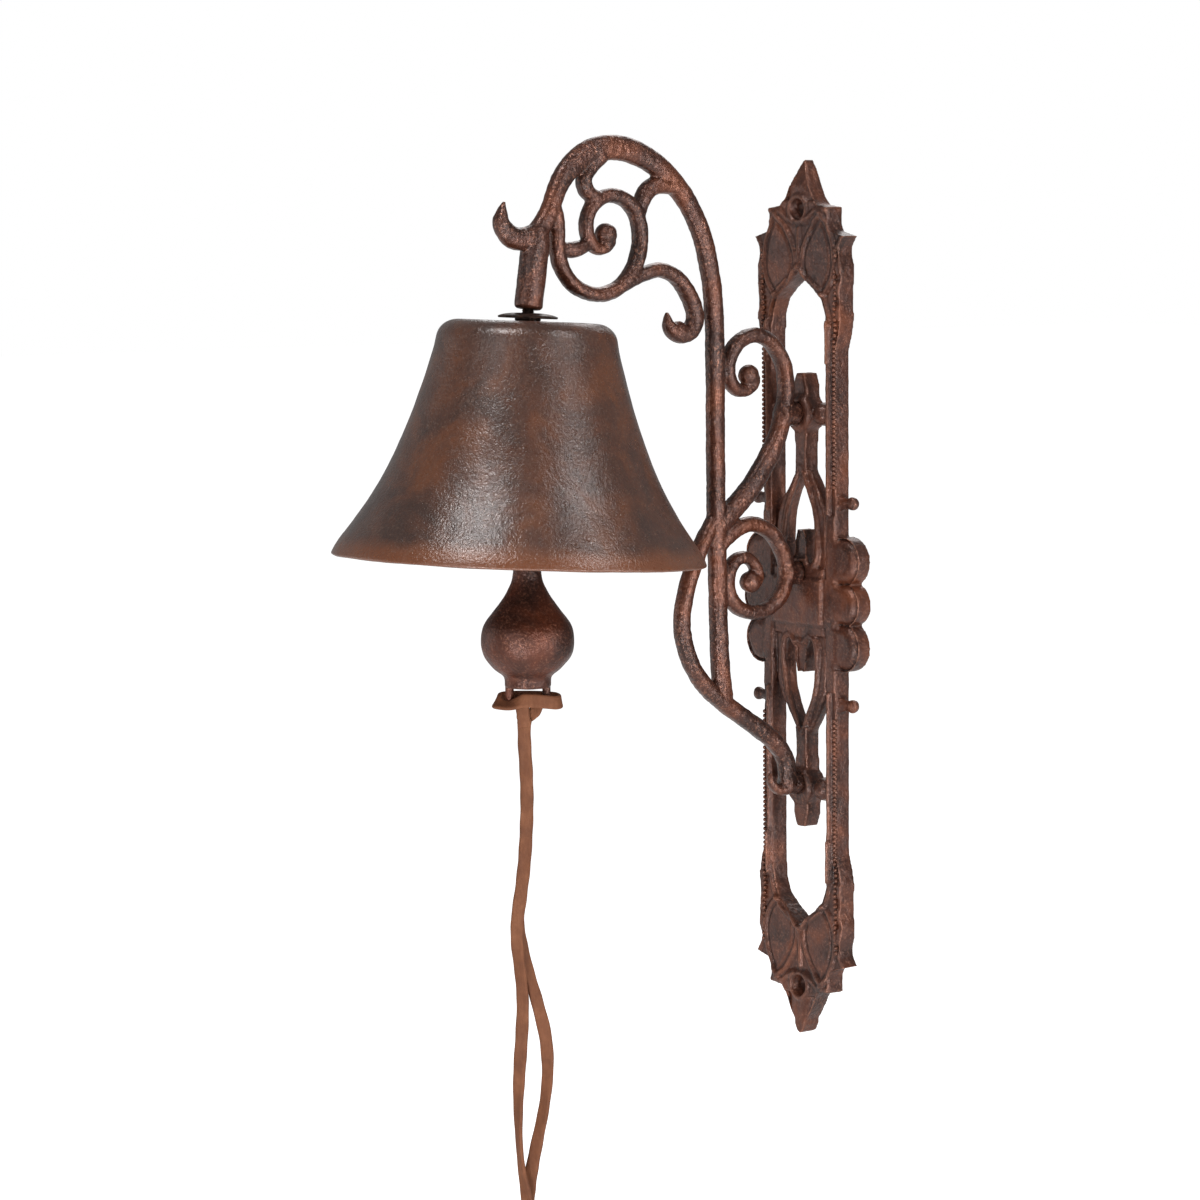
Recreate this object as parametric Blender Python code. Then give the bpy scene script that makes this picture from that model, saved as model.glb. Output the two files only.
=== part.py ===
"""Wall mounted bell: a cast wall plate, a scrolled arm, a hanging bell, its clapper and a leather thong.

The model is in metres. The flat back of the wall plate lies in the plane y = 0 and faces +Y, towards the
wall. The bell stands out towards -Y, +Z is up, and the origin is the middle of the plate's back. Sizes below
are in millimetres, and "out" is the distance from the wall, which is -y.
"""

import math

import bmesh
import bpy
from mathutils import Matrix, Vector

MM = 0.001  # metres in a millimetre
GAP = 0.3  # clearance between pieces that touch

# Wall plate
PLATE_DEPTH = 8.5
PLATE_HALF_HEIGHT = 185.0
RAIL_INNER = 17.6  # from the middle line to a rail's inner side
RAIL_OUTER = 23.2
WINDOW_TOP = 138.5  # height of the point of the big window
HUB_HALF_HEIGHT = 15.0  # solid middle block
BOSS_HEIGHT = 79.0  # of the two bosses that carry the arm, above and below the middle
BOSS_RADIUS = 8.0
BOSS_OUT = 9.5
WALL_HOLE_HEIGHT = 164.3
WALL_HOLE_RADIUS = 3.0
WALL_SINK_RADIUS = 4.4
PEG_HEIGHT = 42.3
PEG_REACH = 33.6
ROSETTE_LOBES = ((26.4, 18, 10.2, 8.1), (28.2, 0, 8.8, 8.8), (26.4, -18, 10.2, 8.1))  # x, z, radius, out

# Arm
ARM_DEPTH = 7.4  # thickness of the arm's members across its plane
PAD_RADIUS = 5.0
PADS = ((79.0, 9.5, 19.0), (12.0, 8.7, 16.5), (-77.0, 9.5, 17.0))  # height, and from where to where out
STUB_RADIUS = 5.6
STUB_FOOT = (148.3, 125.4)  # out and height of the middle of the stub's end
STUB_TILT = math.radians(8.3)

# Arm screws, M4
SCREW_RADIUS = 2.0
SCREW_HEAD_RADIUS = 3.6
SCREW_HEAD = 2.6
COUNTERBORE_RADIUS = 5.0
COUNTERBORE = 4.2
WASHER_RADIUS = 4.4
WASHER = 0.8
SCREW_REACH = 16.5  # how far out the screw's tip comes

# Bell and what it hangs on. Distances "down" run along the bell's axis from the stub's end.
BELL_TILT = math.radians(3.2)
BELL_TOP = 5.0
BELL_HEIGHT = 95.0
BELL_RADIUS = 75.0
BELL_WALL = 3.6
CROWN_RADIUS = 30.0
BELL_BORE_RADIUS = 3.3
ROD_RADIUS = 2.5
ROD_TOP = -17.0
CROWN_WASHER_RADIUS = 12.0
COLLAR_RADIUS = 5.2
INNER_WASHER_RADIUS = 9.0
INNER_WASHER = 1.2
NUT_ACROSS_FLATS = 8.0
INNER_NUT = 4.0
LOCK_NUT = 3.2
EYE_DOWN = 29.0
EYE_RADIUS = 5.2
EYE_WIRE = 1.8
EYE_PLAY = 0.1  # between a link and the eye it hangs in
LINK_WIRE = 1.4
LINK_HALF_WIDTH = 4.6
LINK_PITCH = 12.0  # between the wires at the link's two ends

# Clapper
TOP_EYE_RADIUS = 4.8
TOP_EYE_WIRE = 1.6
CLAPPER_ROD_RADIUS = 2.6
CLAPPER_ROD_FOOT = -8.0  # height of the rod's lower end, inside the ball
BALL_FOOT = -25.7
LOOP_HALF_WIDTH = 7.4
LOOP_WIRE = 1.7
LOOP_HEIGHT = -32.0
LOOP_CORNER = 2.6
LOOP_TURN = math.radians(53.0)  # the loop's bar points this far from +X towards +Y

# Leather thong
STRAND_RADIUS = 1.7
HITCH_RADIUS = 4.0
HITCH_LENGTH = 10.6
HITCH_FOOT = -38.0
KNOT_TOP = -239.0
KNOT_HEIGHT = 8.0
TAIL_FOOT = -262.0


# Placing


def at(x, out, height):
    """A point from its side offset, its distance from the wall and its height, in millimetres."""
    return Vector((x, -out, height)) * MM


def down_axis(distance):
    """A point on the bell's axis, that far down from the stub's end."""
    along = Vector((0, -math.sin(BELL_TILT), -math.cos(BELL_TILT)))
    return at(0, *STUB_FOOT) + along * distance * MM


LINK_PIVOT = down_axis(EYE_DOWN + EYE_RADIUS - EYE_WIRE - LINK_WIRE - EYE_PLAY)
CLAPPER_OUT = -LINK_PIVOT.y / MM  # the clapper hangs plumb below the eye
EYE_LIFT = LINK_WIRE + TOP_EYE_WIRE + EYE_PLAY  # of the clapper's eye over the link's lower wire
CLAPPER_PIVOT = at(0, CLAPPER_OUT, LINK_PIVOT.z / MM - LINK_PITCH + EYE_LIFT)
THONG_PIVOT = at(0, CLAPPER_OUT, LOOP_HEIGHT)
BELL_PIVOT = down_axis(BELL_TOP)

bar_direction = Vector((math.cos(LOOP_TURN), math.sin(LOOP_TURN), 0))
front_direction = Vector((math.sin(LOOP_TURN), -math.cos(LOOP_TURN), 0))


def by_thong(along_bar, in_front, height):
    """A point near the thong: along the loop's bar, in front of it, and at a height."""
    spot = bar_direction * along_bar + front_direction * in_front
    return Vector((spot.x, spot.y - CLAPPER_OUT, height)) * MM


# Scene, materials and objects


def clear_scene():
    for item in list(bpy.data.objects):
        bpy.data.objects.remove(item, do_unlink=True)


def painted(name, colour, roughness, metallic):
    material = bpy.data.materials.new(name)
    material.use_nodes = True
    shader = material.node_tree.nodes["Principled BSDF"]
    shader.inputs["Base Color"].default_value = (*colour, 1)
    shader.inputs["Roughness"].default_value = roughness
    shader.inputs["Metallic"].default_value = metallic
    return material


def cast_brown(name):
    return painted(name, (0.17, 0.078, 0.045), 0.5, 0.45)


def dark_steel(name):
    return painted(name, (0.09, 0.06, 0.045), 0.5, 0.8)


def tan_leather(name):
    return painted(name, (0.26, 0.10, 0.045), 0.7, 0.0)


def mesh_object(name, bm, material=None):
    """Turns a bmesh into an object; one without a material is a guide that only shapes others."""
    bmesh.ops.recalc_face_normals(bm, faces=bm.faces)
    mesh = bpy.data.meshes.new(name)
    bm.to_mesh(mesh)
    bm.free()
    mesh.shade_smooth()
    mesh.set_sharp_from_angle(angle=math.radians(35))
    item = bpy.data.objects.new(name, mesh)
    bpy.context.scene.collection.objects.link(item)
    if material:
        mesh.materials.append(material)
    else:
        item.hide_render = True
        item.display_type = "WIRE"
    return item


def boolean(target, operation, guides):
    for guide in guides:
        step = target.modifiers.new(guide.name, "BOOLEAN")
        step.operation = operation
        step.solver = "EXACT"
        step.object = guide
    return target


def pivot(name, place, parent=None):
    """An empty on a joint's axis."""
    empty = bpy.data.objects.new(name, None)
    empty.empty_display_size = 0.01
    empty.location = place
    bpy.context.scene.collection.objects.link(empty)
    if parent:
        empty.parent = parent
        empty.location = place - parent.matrix_world.translation
    bpy.context.view_layer.update()
    return empty


def hang(item, empty):
    """Moves an item's origin to a joint's empty and parents it there; the item stays where it is."""
    item.data.transform(Matrix.Translation(-empty.matrix_world.translation))
    item.parent = empty
    return item


# Shapes


def smooth_points(points, spans=2):
    """A smooth curve through hand-placed points of any dimension, with this many steps between two."""
    knots = [Vector(p) for p in points]
    knots = [2 * knots[0] - knots[1]] + knots + [2 * knots[-1] - knots[-2]]
    curve = []
    for a, b, c, d in zip(knots, knots[1:], knots[2:], knots[3:]):
        for step in range(spans):
            t = step / spans
            curve.append(
                0.5
                * (2 * b + (c - a) * t + (2 * a - 5 * b + 4 * c - d) * t**2)
                + 0.5 * (3 * b - a - 3 * c + d) * t**3
            )
    return curve + [knots[-2]]


def skin(rings, closed=False):
    """Joins rings of points into a tube, capped at both ends unless it closes on itself."""
    bm = bmesh.new()
    loops = [[bm.verts.new(p) for p in ring] for ring in rings]
    pairs = list(zip(loops, loops[1:]))
    if closed:
        pairs.append((loops[-1], loops[0]))
    for low, high in pairs:
        for k in range(len(low)):
            m = (k + 1) % len(low)
            bm.faces.new((low[k], low[m], high[m], high[k]))
    if not closed:
        bm.faces.new(loops[0])
        bm.faces.new(loops[-1])
    return bm


def rounded(share):
    """Pushes a circle's coordinate outwards, which turns the circle into a soft square."""
    return math.copysign(abs(share) ** 0.7, share)


def ribbon(name, points, depth=ARM_DEPTH, plane=at, middle=0.0):
    """A rounded bar along a curve in a plane, through (across, up, width) points.

    In the arm's plane the points are (out, height, width). It thins in depth where it is narrow.
    """
    sides = 8
    curve = smooth_points(points)
    rings = []
    for i, here in enumerate(curve):
        ahead = curve[min(i + 1, len(curve) - 1)] - curve[max(i - 1, 0)]
        normal = Vector((-ahead.y, ahead.x)).normalized()
        thick = min(depth, 1.25 * here.z)
        ring = []
        for k in range(sides):
            turn = math.tau * (k + 0.5) / sides
            shift = 0.5 * here.z * rounded(math.cos(turn))
            side = middle + 0.5 * thick * rounded(math.sin(turn))
            ring.append(
                plane(side, here.x + normal.x * shift, here.y + normal.y * shift)
            )
        rings.append(ring)
    return mesh_object(name, skin(rings))


def turned(name, profile, place, material=None, segments=32):
    """A turned solid: (radius, height) points from top to bottom, about the local Z of a matrix."""
    bm = bmesh.new()
    rows = []
    for radius, height in profile:
        if radius == 0:
            rows.append([bm.verts.new((0, 0, height * MM))])
            continue
        rows.append(
            [
                bm.verts.new(
                    (
                        radius * MM * math.cos(math.tau * k / segments),
                        radius * MM * math.sin(math.tau * k / segments),
                        height * MM,
                    )
                )
                for k in range(segments)
            ]
        )
    pairs = list(zip(rows, rows[1:]))
    if profile[0][0] > 0:
        pairs.append((rows[-1], rows[0]))
    for low, high in pairs:
        for k in range(segments):
            m = (k + 1) % segments
            corners = [low[k % len(low)], low[m % len(low)]]
            corners += [high[m % len(high)], high[k % len(high)]]
            bm.faces.new(dict.fromkeys(corners))
    bm.transform(place)
    return mesh_object(name, bm, material)


def slab(name, outline, front, material=None, back=-2.0):
    """An outline of (x, height) points, extruded from behind the wall's plane out to its front."""
    rings = [[at(x, out, z) for x, z in outline] for out in (back, front)]
    return mesh_object(name, skin(rings), material)


def tube(name, points, radius, across, closed=False, material=None):
    """A round bar along points in space; across is the direction square to the curve's plane."""
    sides = 10
    rings = []
    count = len(points)
    for i, here in enumerate(points):
        after = points[(i + 1) % count] if closed else points[min(i + 1, count - 1)]
        before = points[i - 1] if closed or i else points[0]
        ahead = (after - before).normalized()
        side = ahead.cross(across)
        turns = [math.tau * k / sides for k in range(sides)]
        rings.append(
            [
                here + (side * math.cos(t) + across * math.sin(t)) * radius * MM
                for t in turns
            ]
        )
    return mesh_object(name, skin(rings, closed), material)


def ring_points(centre, first, second, radius, steps=24, stop=math.tau):
    """Points on a circle or arc that starts along first and turns towards second."""
    whole = math.isclose(stop, math.tau)
    count = steps if whole else steps + 1
    turns = [stop * k / steps for k in range(count)]
    return [
        centre + (first * math.cos(t) + second * math.sin(t)) * radius * MM
        for t in turns
    ]


def arc(centre, radius, start, stop, steps):
    """(across, up) points on an arc, angles in degrees anticlockwise from the first axis."""
    turns = [math.radians(start + (stop - start) * k / steps) for k in range(steps + 1)]
    return [
        (centre[0] + radius * math.cos(t), centre[1] + radius * math.sin(t))
        for t in turns
    ]


def outward(x, height, out):
    """A matrix whose Z points away from the wall, placed that far out."""
    return Matrix.Translation(at(x, out, height)) @ Matrix.Rotation(
        math.pi / 2, 4, "X"
    )


def on_bell_axis(distance):
    """A matrix whose Z runs up the bell's axis, placed that far down it."""
    return Matrix.Translation(down_axis(distance)) @ Matrix.Rotation(
        -BELL_TILT, 4, "X"
    )


def hexagon(name, length, bore, place, material):
    """A six-sided nut with a round bore, its top at the place's origin."""
    segments = 24
    bm = bmesh.new()
    rows = [[], [], [], []]
    for k in range(segments):
        turn = math.tau * k / segments
        from_flat = (turn + math.pi / 6) % (math.pi / 3) - math.pi / 6
        outer = NUT_ACROSS_FLATS / 2 / math.cos(from_flat)
        corners = ((bore, 0), (outer, 0), (outer, -length), (bore, -length))
        for row, (radius, height) in zip(rows, corners):
            spot = (radius * math.cos(turn), radius * math.sin(turn), height)
            row.append(bm.verts.new(Vector(spot) * MM))
    for low, high in zip(rows, rows[1:] + rows[:1]):
        for k in range(segments):
            m = (k + 1) % segments
            bm.faces.new((low[k], low[m], high[m], high[k]))
    bm.transform(place)
    return mesh_object(name, bm, material)


# Wall plate


def plate_outline():
    """The plate's outer edge: a finial at each end, straight rails between, the same on both sides."""
    shoulders = [
        (RAIL_OUTER, 106),
        (25.2, 112),
        (26.6, 119),
        (26.0, 126),
        (26.0, 131),
        (27.0, 136),
        (26.6, 141),
        (25.2, 146),
        (25.6, 149),
        (28.3, 153),
        (20.2, 155.2),
        (18.8, 158),
        (18.9, 165.2),
        (12.0, 165.9),
    ]
    point = [(8.8, 169), (6.6, 173), (4.6, 177), (2.6, 181), (0.8, 184.2)]
    blunt = [(9.6, 168.8), (7.4, 173), (5.2, 176.6), (3.4, 179), (3.2, 181), (1.6, 184.2)]
    top = shoulders + point + [(0, PLATE_HALF_HEIGHT)]
    foot = shoulders + blunt + [(0, PLATE_HALF_HEIGHT)]
    right = [(x, -z) for x, z in reversed(foot)] + top
    left = [(-x, z) for x, z in reversed(right[1:-1])]
    return right + left


def window_outline(sign):
    """The opening between the rails, from the middle block to its pointed top."""
    side = [(RAIL_INNER, 112), (16.8, 121), (14.4, 127), (10.0, 130.8), (5.0, 134.2)]
    right = [(RAIL_INNER, HUB_HALF_HEIGHT - 1)] + side
    left = [(-x, z) for x, z in reversed(right)]
    return [(x, sign * z) for x, z in right + [(0, WINDOW_TOP)] + left]


def lattice(sign):
    """The pieces between the rails on one half of the plate: boss, tip, stem, branches and blade."""
    side = "upper" if sign > 0 else "lower"
    height = sign * BOSS_HEIGHT

    def up(outline):
        return [(x, sign * z) for x, z in outline]

    tip = [(-5, 82), (5, 82), (4.6, 90), (2.6, 96), (-2.6, 96), (-4.6, 90)]
    stem = [(-3.6, 54), (3.6, 54), (3.2, 62), (4.4, 76), (-4.4, 76), (-3.2, 62)]
    blade = [(-2.8, 12), (2.8, 12), (3.5, 24), (1.8, 30.4), (-1.8, 30.4), (-3.5, 24)]
    made = [
        slab(f"guide_{side}_tip", up(tip), 7.6),
        slab(f"guide_{side}_stem", up(stem), 7.3),
        slab(f"guide_{side}_blade", up(blade), 7.9),
        turned(
            f"guide_{side}_boss",
            [(0, 0), (6.4, 0), (BOSS_RADIUS, -1.4), (BOSS_RADIUS, -11.5), (0, -11.5)],
            outward(0, height, BOSS_OUT),
            segments=24,
        ),
    ]
    for x in (-1, 1):
        branch = [(0, 58, 4.6), (4.2, 52, 4.8), (8.6, 45, 5.2), (12.2, 38, 6.8)]
        branch += [(13.8, 30, 8.4), (14.2, 21, 8.6), (14, 12, 8.6)]
        name = f"{side}_{'left' if x < 0 else 'right'}"
        made.append(
            ribbon(
                f"guide_branch_{name}",
                [(x * p[0], sign * p[1], p[2]) for p in branch],
                depth=7.6,
                plane=lambda out, across, up: at(across, out, up),
                middle=3.3,
            )
        )
        ball = [(0, 5.2)] + arc((0, 0), 5.2, 60, -60, 4) + [(0, -5.2)]
        made.append(
            turned(
                f"guide_ball_{name}",
                ball,
                outward(x * 12.8, height, 4.6),
                segments=12,
            )
        )
    return made


def rosette():
    """The three lobes that stand out on each side of the middle block."""
    made = []
    for x in (-1, 1):
        for k, (across, height, radius, out) in enumerate(ROSETTE_LOBES):
            profile = [(0, 0), (radius - 1, 0), (radius, -1), (radius, -10), (0, -10)]
            place = outward(x * across, height, out)
            made.append(turned(f"guide_lobe_{x}_{k}", profile, place, segments=24))
    return made


def pegs():
    """The four round knobs that stand out sideways from the rails."""
    made = []
    ball = arc((0, PEG_REACH - 2.6), 2.6, 90, -40, 5)
    profile = [(0, PEG_REACH)] + ball[1:] + [(1.9, PEG_REACH - 5), (1.9, 20), (0, 20)]
    for x in (-1, 1):
        for z in (-PEG_HEIGHT, PEG_HEIGHT):
            turn = Matrix.Rotation(x * math.pi / 2, 4, "Y")
            place = Matrix.Translation(at(0, 4.7, z)) @ turn
            made.append(turned(f"guide_peg_{x}_{z}", profile, place, segments=12))
    return made


def make_plate():
    plate = slab(
        "wall_plate", plate_outline(), PLATE_DEPTH, cast_brown("wall_plate_iron")
    )
    windows = [
        slab(f"cut_window_{sign}", window_outline(sign), 20, back=-5)
        for sign in (-1, 1)
    ]
    boolean(plate, "DIFFERENCE", windows)
    boolean(plate, "UNION", lattice(1) + lattice(-1) + rosette() + pegs())
    behind = [(-60, -200), (60, -200), (60, 200), (-60, 200)]
    cuts = [slab("cut_behind", behind, 0, back=-20)]
    # The upper finial's tip thins towards its point.
    wedge = [(174, PLATE_DEPTH), (192, PLATE_DEPTH - 6.5), (192, 20), (174, 20)]
    sides = [[at(x, out, z) for z, out in wedge] for x in (-10, 10)]
    cuts.append(mesh_object("cut_tip", skin(sides)))
    for sign in (-1, 1):
        sink = [(0, 1), (WALL_SINK_RADIUS + 1, 1), (WALL_HOLE_RADIUS, -2.4)]
        sink += [(WALL_HOLE_RADIUS, -12), (0, -12)]
        wall_hole = outward(0, sign * WALL_HOLE_HEIGHT, PLATE_DEPTH)
        cuts.append(turned(f"cut_wall_hole_{sign}", sink, wall_hole, segments=24))
        clear = SCREW_RADIUS + GAP
        bore = [(0, 12), (clear, 12), (clear, COUNTERBORE)]
        bore += [(COUNTERBORE_RADIUS, COUNTERBORE), (COUNTERBORE_RADIUS, -2), (0, -2)]
        boss = outward(0, sign * BOSS_HEIGHT, 0)
        cuts.append(turned(f"cut_boss_{sign}", bore, boss, segments=24))
    return boolean(plate, "DIFFERENCE", cuts)


# Arm


def arm_members():
    """Every bar of the arm as (out, height, width) points along its middle line."""
    return {
        "spine": [
            (49.5, -38, 9.0), (51.2, -20, 7.6), (52.4, 20, 7.6), (52.9, 60, 7.6),
            (53.1, 100, 7.6), (53.6, 122, 7.6), (55.8, 140, 7.6), (61.2, 157, 7.8),
            (70.2, 170.8, 8.4), (82.0, 181.4, 9.0), (94.0, 187.3, 9.7),
            (106.0, 189.4, 10.0), (118.0, 187.2, 9.8), (128.0, 180.6, 8.8),
            (134.0, 172.0, 7.6), (137.8, 163.5, 7.2), (143.0, 156.5, 8.0),
            (149.5, 153.3, 9.2), (156.5, 154.2, 8.8), (161.0, 159.0, 6.6),
            (160.6, 164.5, 3.6), (159.4, 168.0, 1.0),
        ],
        "ring": [
            (136.5, 170.0, 5.0), (133.8, 160.0, 5.6), (133.8, 149.0, 5.8),
            (130.5, 139.5, 5.8), (123.0, 132.9, 5.8), (112.5, 130.6, 6.0),
            (102.0, 133.8, 6.0), (94.7, 142.0, 6.0), (91.8, 152.4, 6.0),
            (93.6, 162.2, 6.0), (99.6, 168.4, 6.0), (107.4, 170.2, 5.8),
            (114.8, 167.4, 5.6), (118.8, 161.4, 5.4), (118.8, 154.6, 5.2),
            (115.6, 149.8, 5.0), (110.8, 148.9, 4.8), (107.3, 152.0, 4.6),
            (108.6, 156.2, 3.4),
        ],
        "ring_bridge": [(134.0, 149.5, 4.5), (126.0, 148.6, 6.4), (117.5, 151.0, 4.5)],
        "crook": [
            (111.0, 186.0, 5.5), (117.0, 181.0, 5.6), (120.3, 176.2, 5.8),
            (118.0, 171.2, 5.8), (110.5, 168.5, 5.0),
        ],
        "leaf": [
            (70.0, 172.0, 5.0), (79.0, 174.4, 7.0), (86.5, 173.2, 7.0),
            (90.8, 168.0, 6.0), (91.0, 160.5, 2.2),
        ],
        "lower_scroll": [
            (106.0, 131.5, 5.0), (97.5, 135.6, 5.6), (89.3, 138.7, 5.8),
            (80.6, 139.8, 6.0), (71.8, 135.6, 6.2), (65.6, 127.5, 6.6),
            (63.4, 120.0, 7.0), (66.4, 114.6, 7.4), (72.4, 113.8, 7.2),
            (77.2, 117.0, 5.2), (78.2, 123.0, 1.2),
        ],
        "upper_s": [
            (53.0, 33.0, 8.8), (44.5, 40.0, 9.0), (34.6, 48.9, 8.8),
            (26.6, 58.6, 8.6), (20.2, 69.0, 8.0), (16.4, 80.0, 7.0),
            (15.0, 91.0, 6.4), (17.2, 101.5, 6.3), (24.0, 109.6, 6.2), (32.6, 112.4, 6.2),
            (41.0, 109.4, 6.0), (46.0, 102.4, 6.0), (46.0, 95.0, 5.6),
            (41.8, 90.2, 5.4), (36.2, 89.8, 5.2), (32.8, 93.6, 5.2),
            (34.6, 98.0, 4.4),
        ],
        "lower_c": [
            (53.0, 24.5, 6.0), (44.0, 31.0, 6.2), (33.5, 33.8, 6.4),
            (22.5, 28.6, 6.4), (15.4, 16.5, 6.4), (17.2, 4.8, 6.4),
            (24.4, -1.6, 6.4), (32.6, -3.2, 6.2), (41.0, -1.0, 6.2),
            (46.6, 5.0, 6.2), (47.0, 12.6, 5.8), (43.4, 18.6, 5.4),
            (37.4, 20.0, 5.2), (32.4, 16.4, 5.0), (31.2, 11.0, 5.0),
            (34.4, 7.4, 4.4),
        ],
        "bow": [
            (53.5, 38.0, 5.0), (60.5, 27.0, 6.0), (67.2, 13.0, 6.4),
            (70.8, 0.0, 6.6), (70.6, -11.0, 6.6), (66.2, -23.0, 6.6),
            (58.0, -33.4, 7.0), (46.5, -42.0, 7.4), (34.0, -50.0, 7.6),
            (22.4, -58.4, 7.6), (15.8, -67.0, 7.4), (14.4, -78.0, 7.0),
        ],
        "foot_lip": [
            (14.2, -77.0, 6.0), (16.5, -79.4, 5.0), (20.4, -79.0, 4.2),
            (23.6, -75.6, 3.2), (24.0, -71.8, 1.4),
        ],
    }


def make_arm():
    members = arm_members()
    spine = members.pop("spine")
    arm = ribbon("arm", spine)
    arm.hide_render = False
    arm.display_type = "TEXTURED"
    arm.data.materials.append(cast_brown("arm_iron"))
    guides = []
    for k, (name, points) in enumerate(members.items()):
        depth = ARM_DEPTH + (-0.5, -0.2, -0.35, -0.65)[k % 4]
        guides.append(ribbon(f"guide_{name}", points, depth=depth))
    tilt = Matrix.Rotation(-STUB_TILT, 4, "X")
    stub_place = Matrix.Translation(at(0, *STUB_FOOT)) @ tilt
    stub = [(0, 31), (STUB_RADIUS - 1.2, 31), (STUB_RADIUS, 26), (STUB_RADIUS, 0.6)]
    stub += [(STUB_RADIUS - 0.6, 0), (0, 0)]
    guides.append(turned("guide_stub", stub, stub_place, segments=20))
    for k, (height, start, end) in enumerate(PADS):
        length = end - start - GAP
        pad = [(0, 0), (PAD_RADIUS - 0.8, 0), (PAD_RADIUS, -0.8)]
        pad += [(PAD_RADIUS, -length), (0, -length)]
        guides.append(turned(f"guide_pad_{k}", pad, outward(0, height, end)))
    boolean(arm, "UNION", guides)
    cuts = []
    rod_bore = [(0, 1 - ROD_TOP), (ROD_RADIUS + GAP, 1 - ROD_TOP)]
    rod_bore += [(ROD_RADIUS + GAP, -4), (0, -4)]
    cuts.append(turned("cut_rod_bore", rod_bore, on_bell_axis(0), segments=20))
    for sign in (-1, 1):
        clear = SCREW_RADIUS + GAP
        bore = [(0, SCREW_REACH + 0.6), (clear, SCREW_REACH + 0.6), (clear, 5), (0, 5)]
        place = outward(0, sign * BOSS_HEIGHT, 0)
        cuts.append(turned(f"cut_screw_{sign}", bore, place, segments=20))
    return boolean(arm, "DIFFERENCE", cuts)


def make_arm_screws():
    """A cheese-head screw and a washer in each counterbore at the back of the plate."""
    for side, sign in (("upper", 1), ("lower", -1)):
        place = outward(0, sign * BOSS_HEIGHT, 0)
        seat = COUNTERBORE - GAP
        under = seat - WASHER - GAP
        top = under - SCREW_HEAD
        screw = [(0, SCREW_REACH), (SCREW_RADIUS - 0.5, SCREW_REACH)]
        screw += [(SCREW_RADIUS, SCREW_REACH - 0.7), (SCREW_RADIUS, under)]
        screw += [(SCREW_HEAD_RADIUS, under), (SCREW_HEAD_RADIUS, top), (0, top)]
        name = f"arm_screw_{side}"
        turned(name, screw, place, dark_steel(f"{name}_steel"), segments=24)
        clear = SCREW_RADIUS + GAP
        washer = [(clear, seat), (WASHER_RADIUS, seat), (WASHER_RADIUS, seat - WASHER)]
        washer += [(clear, seat - WASHER)]
        name = f"arm_washer_{side}"
        turned(name, washer, place, dark_steel(f"{name}_steel"), segments=24)


# Bell and its fixing


def bell_curve():
    """The bell's outer flank as (radius, down from the top) points on a Bezier curve."""
    steps = 9
    handles = ((36.1, 7.6), (52.6, 73.5), (70.8, 82.5), (BELL_RADIUS, 94.2))
    points = []
    for k in range(steps + 1):
        t = k / steps
        weights = ((1 - t) ** 3, 3 * t * (1 - t) ** 2, 3 * t * t * (1 - t), t**3)
        points.append(
            tuple(sum(w * h[i] for w, h in zip(weights, handles)) for i in (0, 1))
        )
    return points


def bell_profile():
    """Outer face, rim and inner face, as (radius, height) with the crown's top at height 0."""
    shoulder = arc((CROWN_RADIUS - 2.2, -8.5), 8.5, 90, 15, 4)
    flank = [(r, -d) for r, d in bell_curve()]
    outer = [(BELL_BORE_RADIUS, 0.0)] + shoulder + flank
    inner = []
    for (r0, z0), (r1, z1) in zip(outer[1:], outer[2:]):
        length = math.hypot(r1 - r0, z1 - z0)
        inner.append(
            (
                (r0 + r1) / 2 + (z1 - z0) / length * BELL_WALL,
                (z0 + z1) / 2 - (r1 - r0) / length * BELL_WALL,
            )
        )
    rim = [(BELL_RADIUS - 0.4, -BELL_HEIGHT), (BELL_RADIUS - 2.2, -BELL_HEIGHT)]
    crown_inside = [(BELL_BORE_RADIUS, -BELL_WALL)]
    return outer + rim + inner[::-1] + crown_inside


def make_bell(empty):
    bell = turned(
        "bell",
        bell_profile(),
        on_bell_axis(BELL_TOP),
        cast_brown("bell_iron"),
        segments=60,
    )
    return hang(bell, empty)


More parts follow.
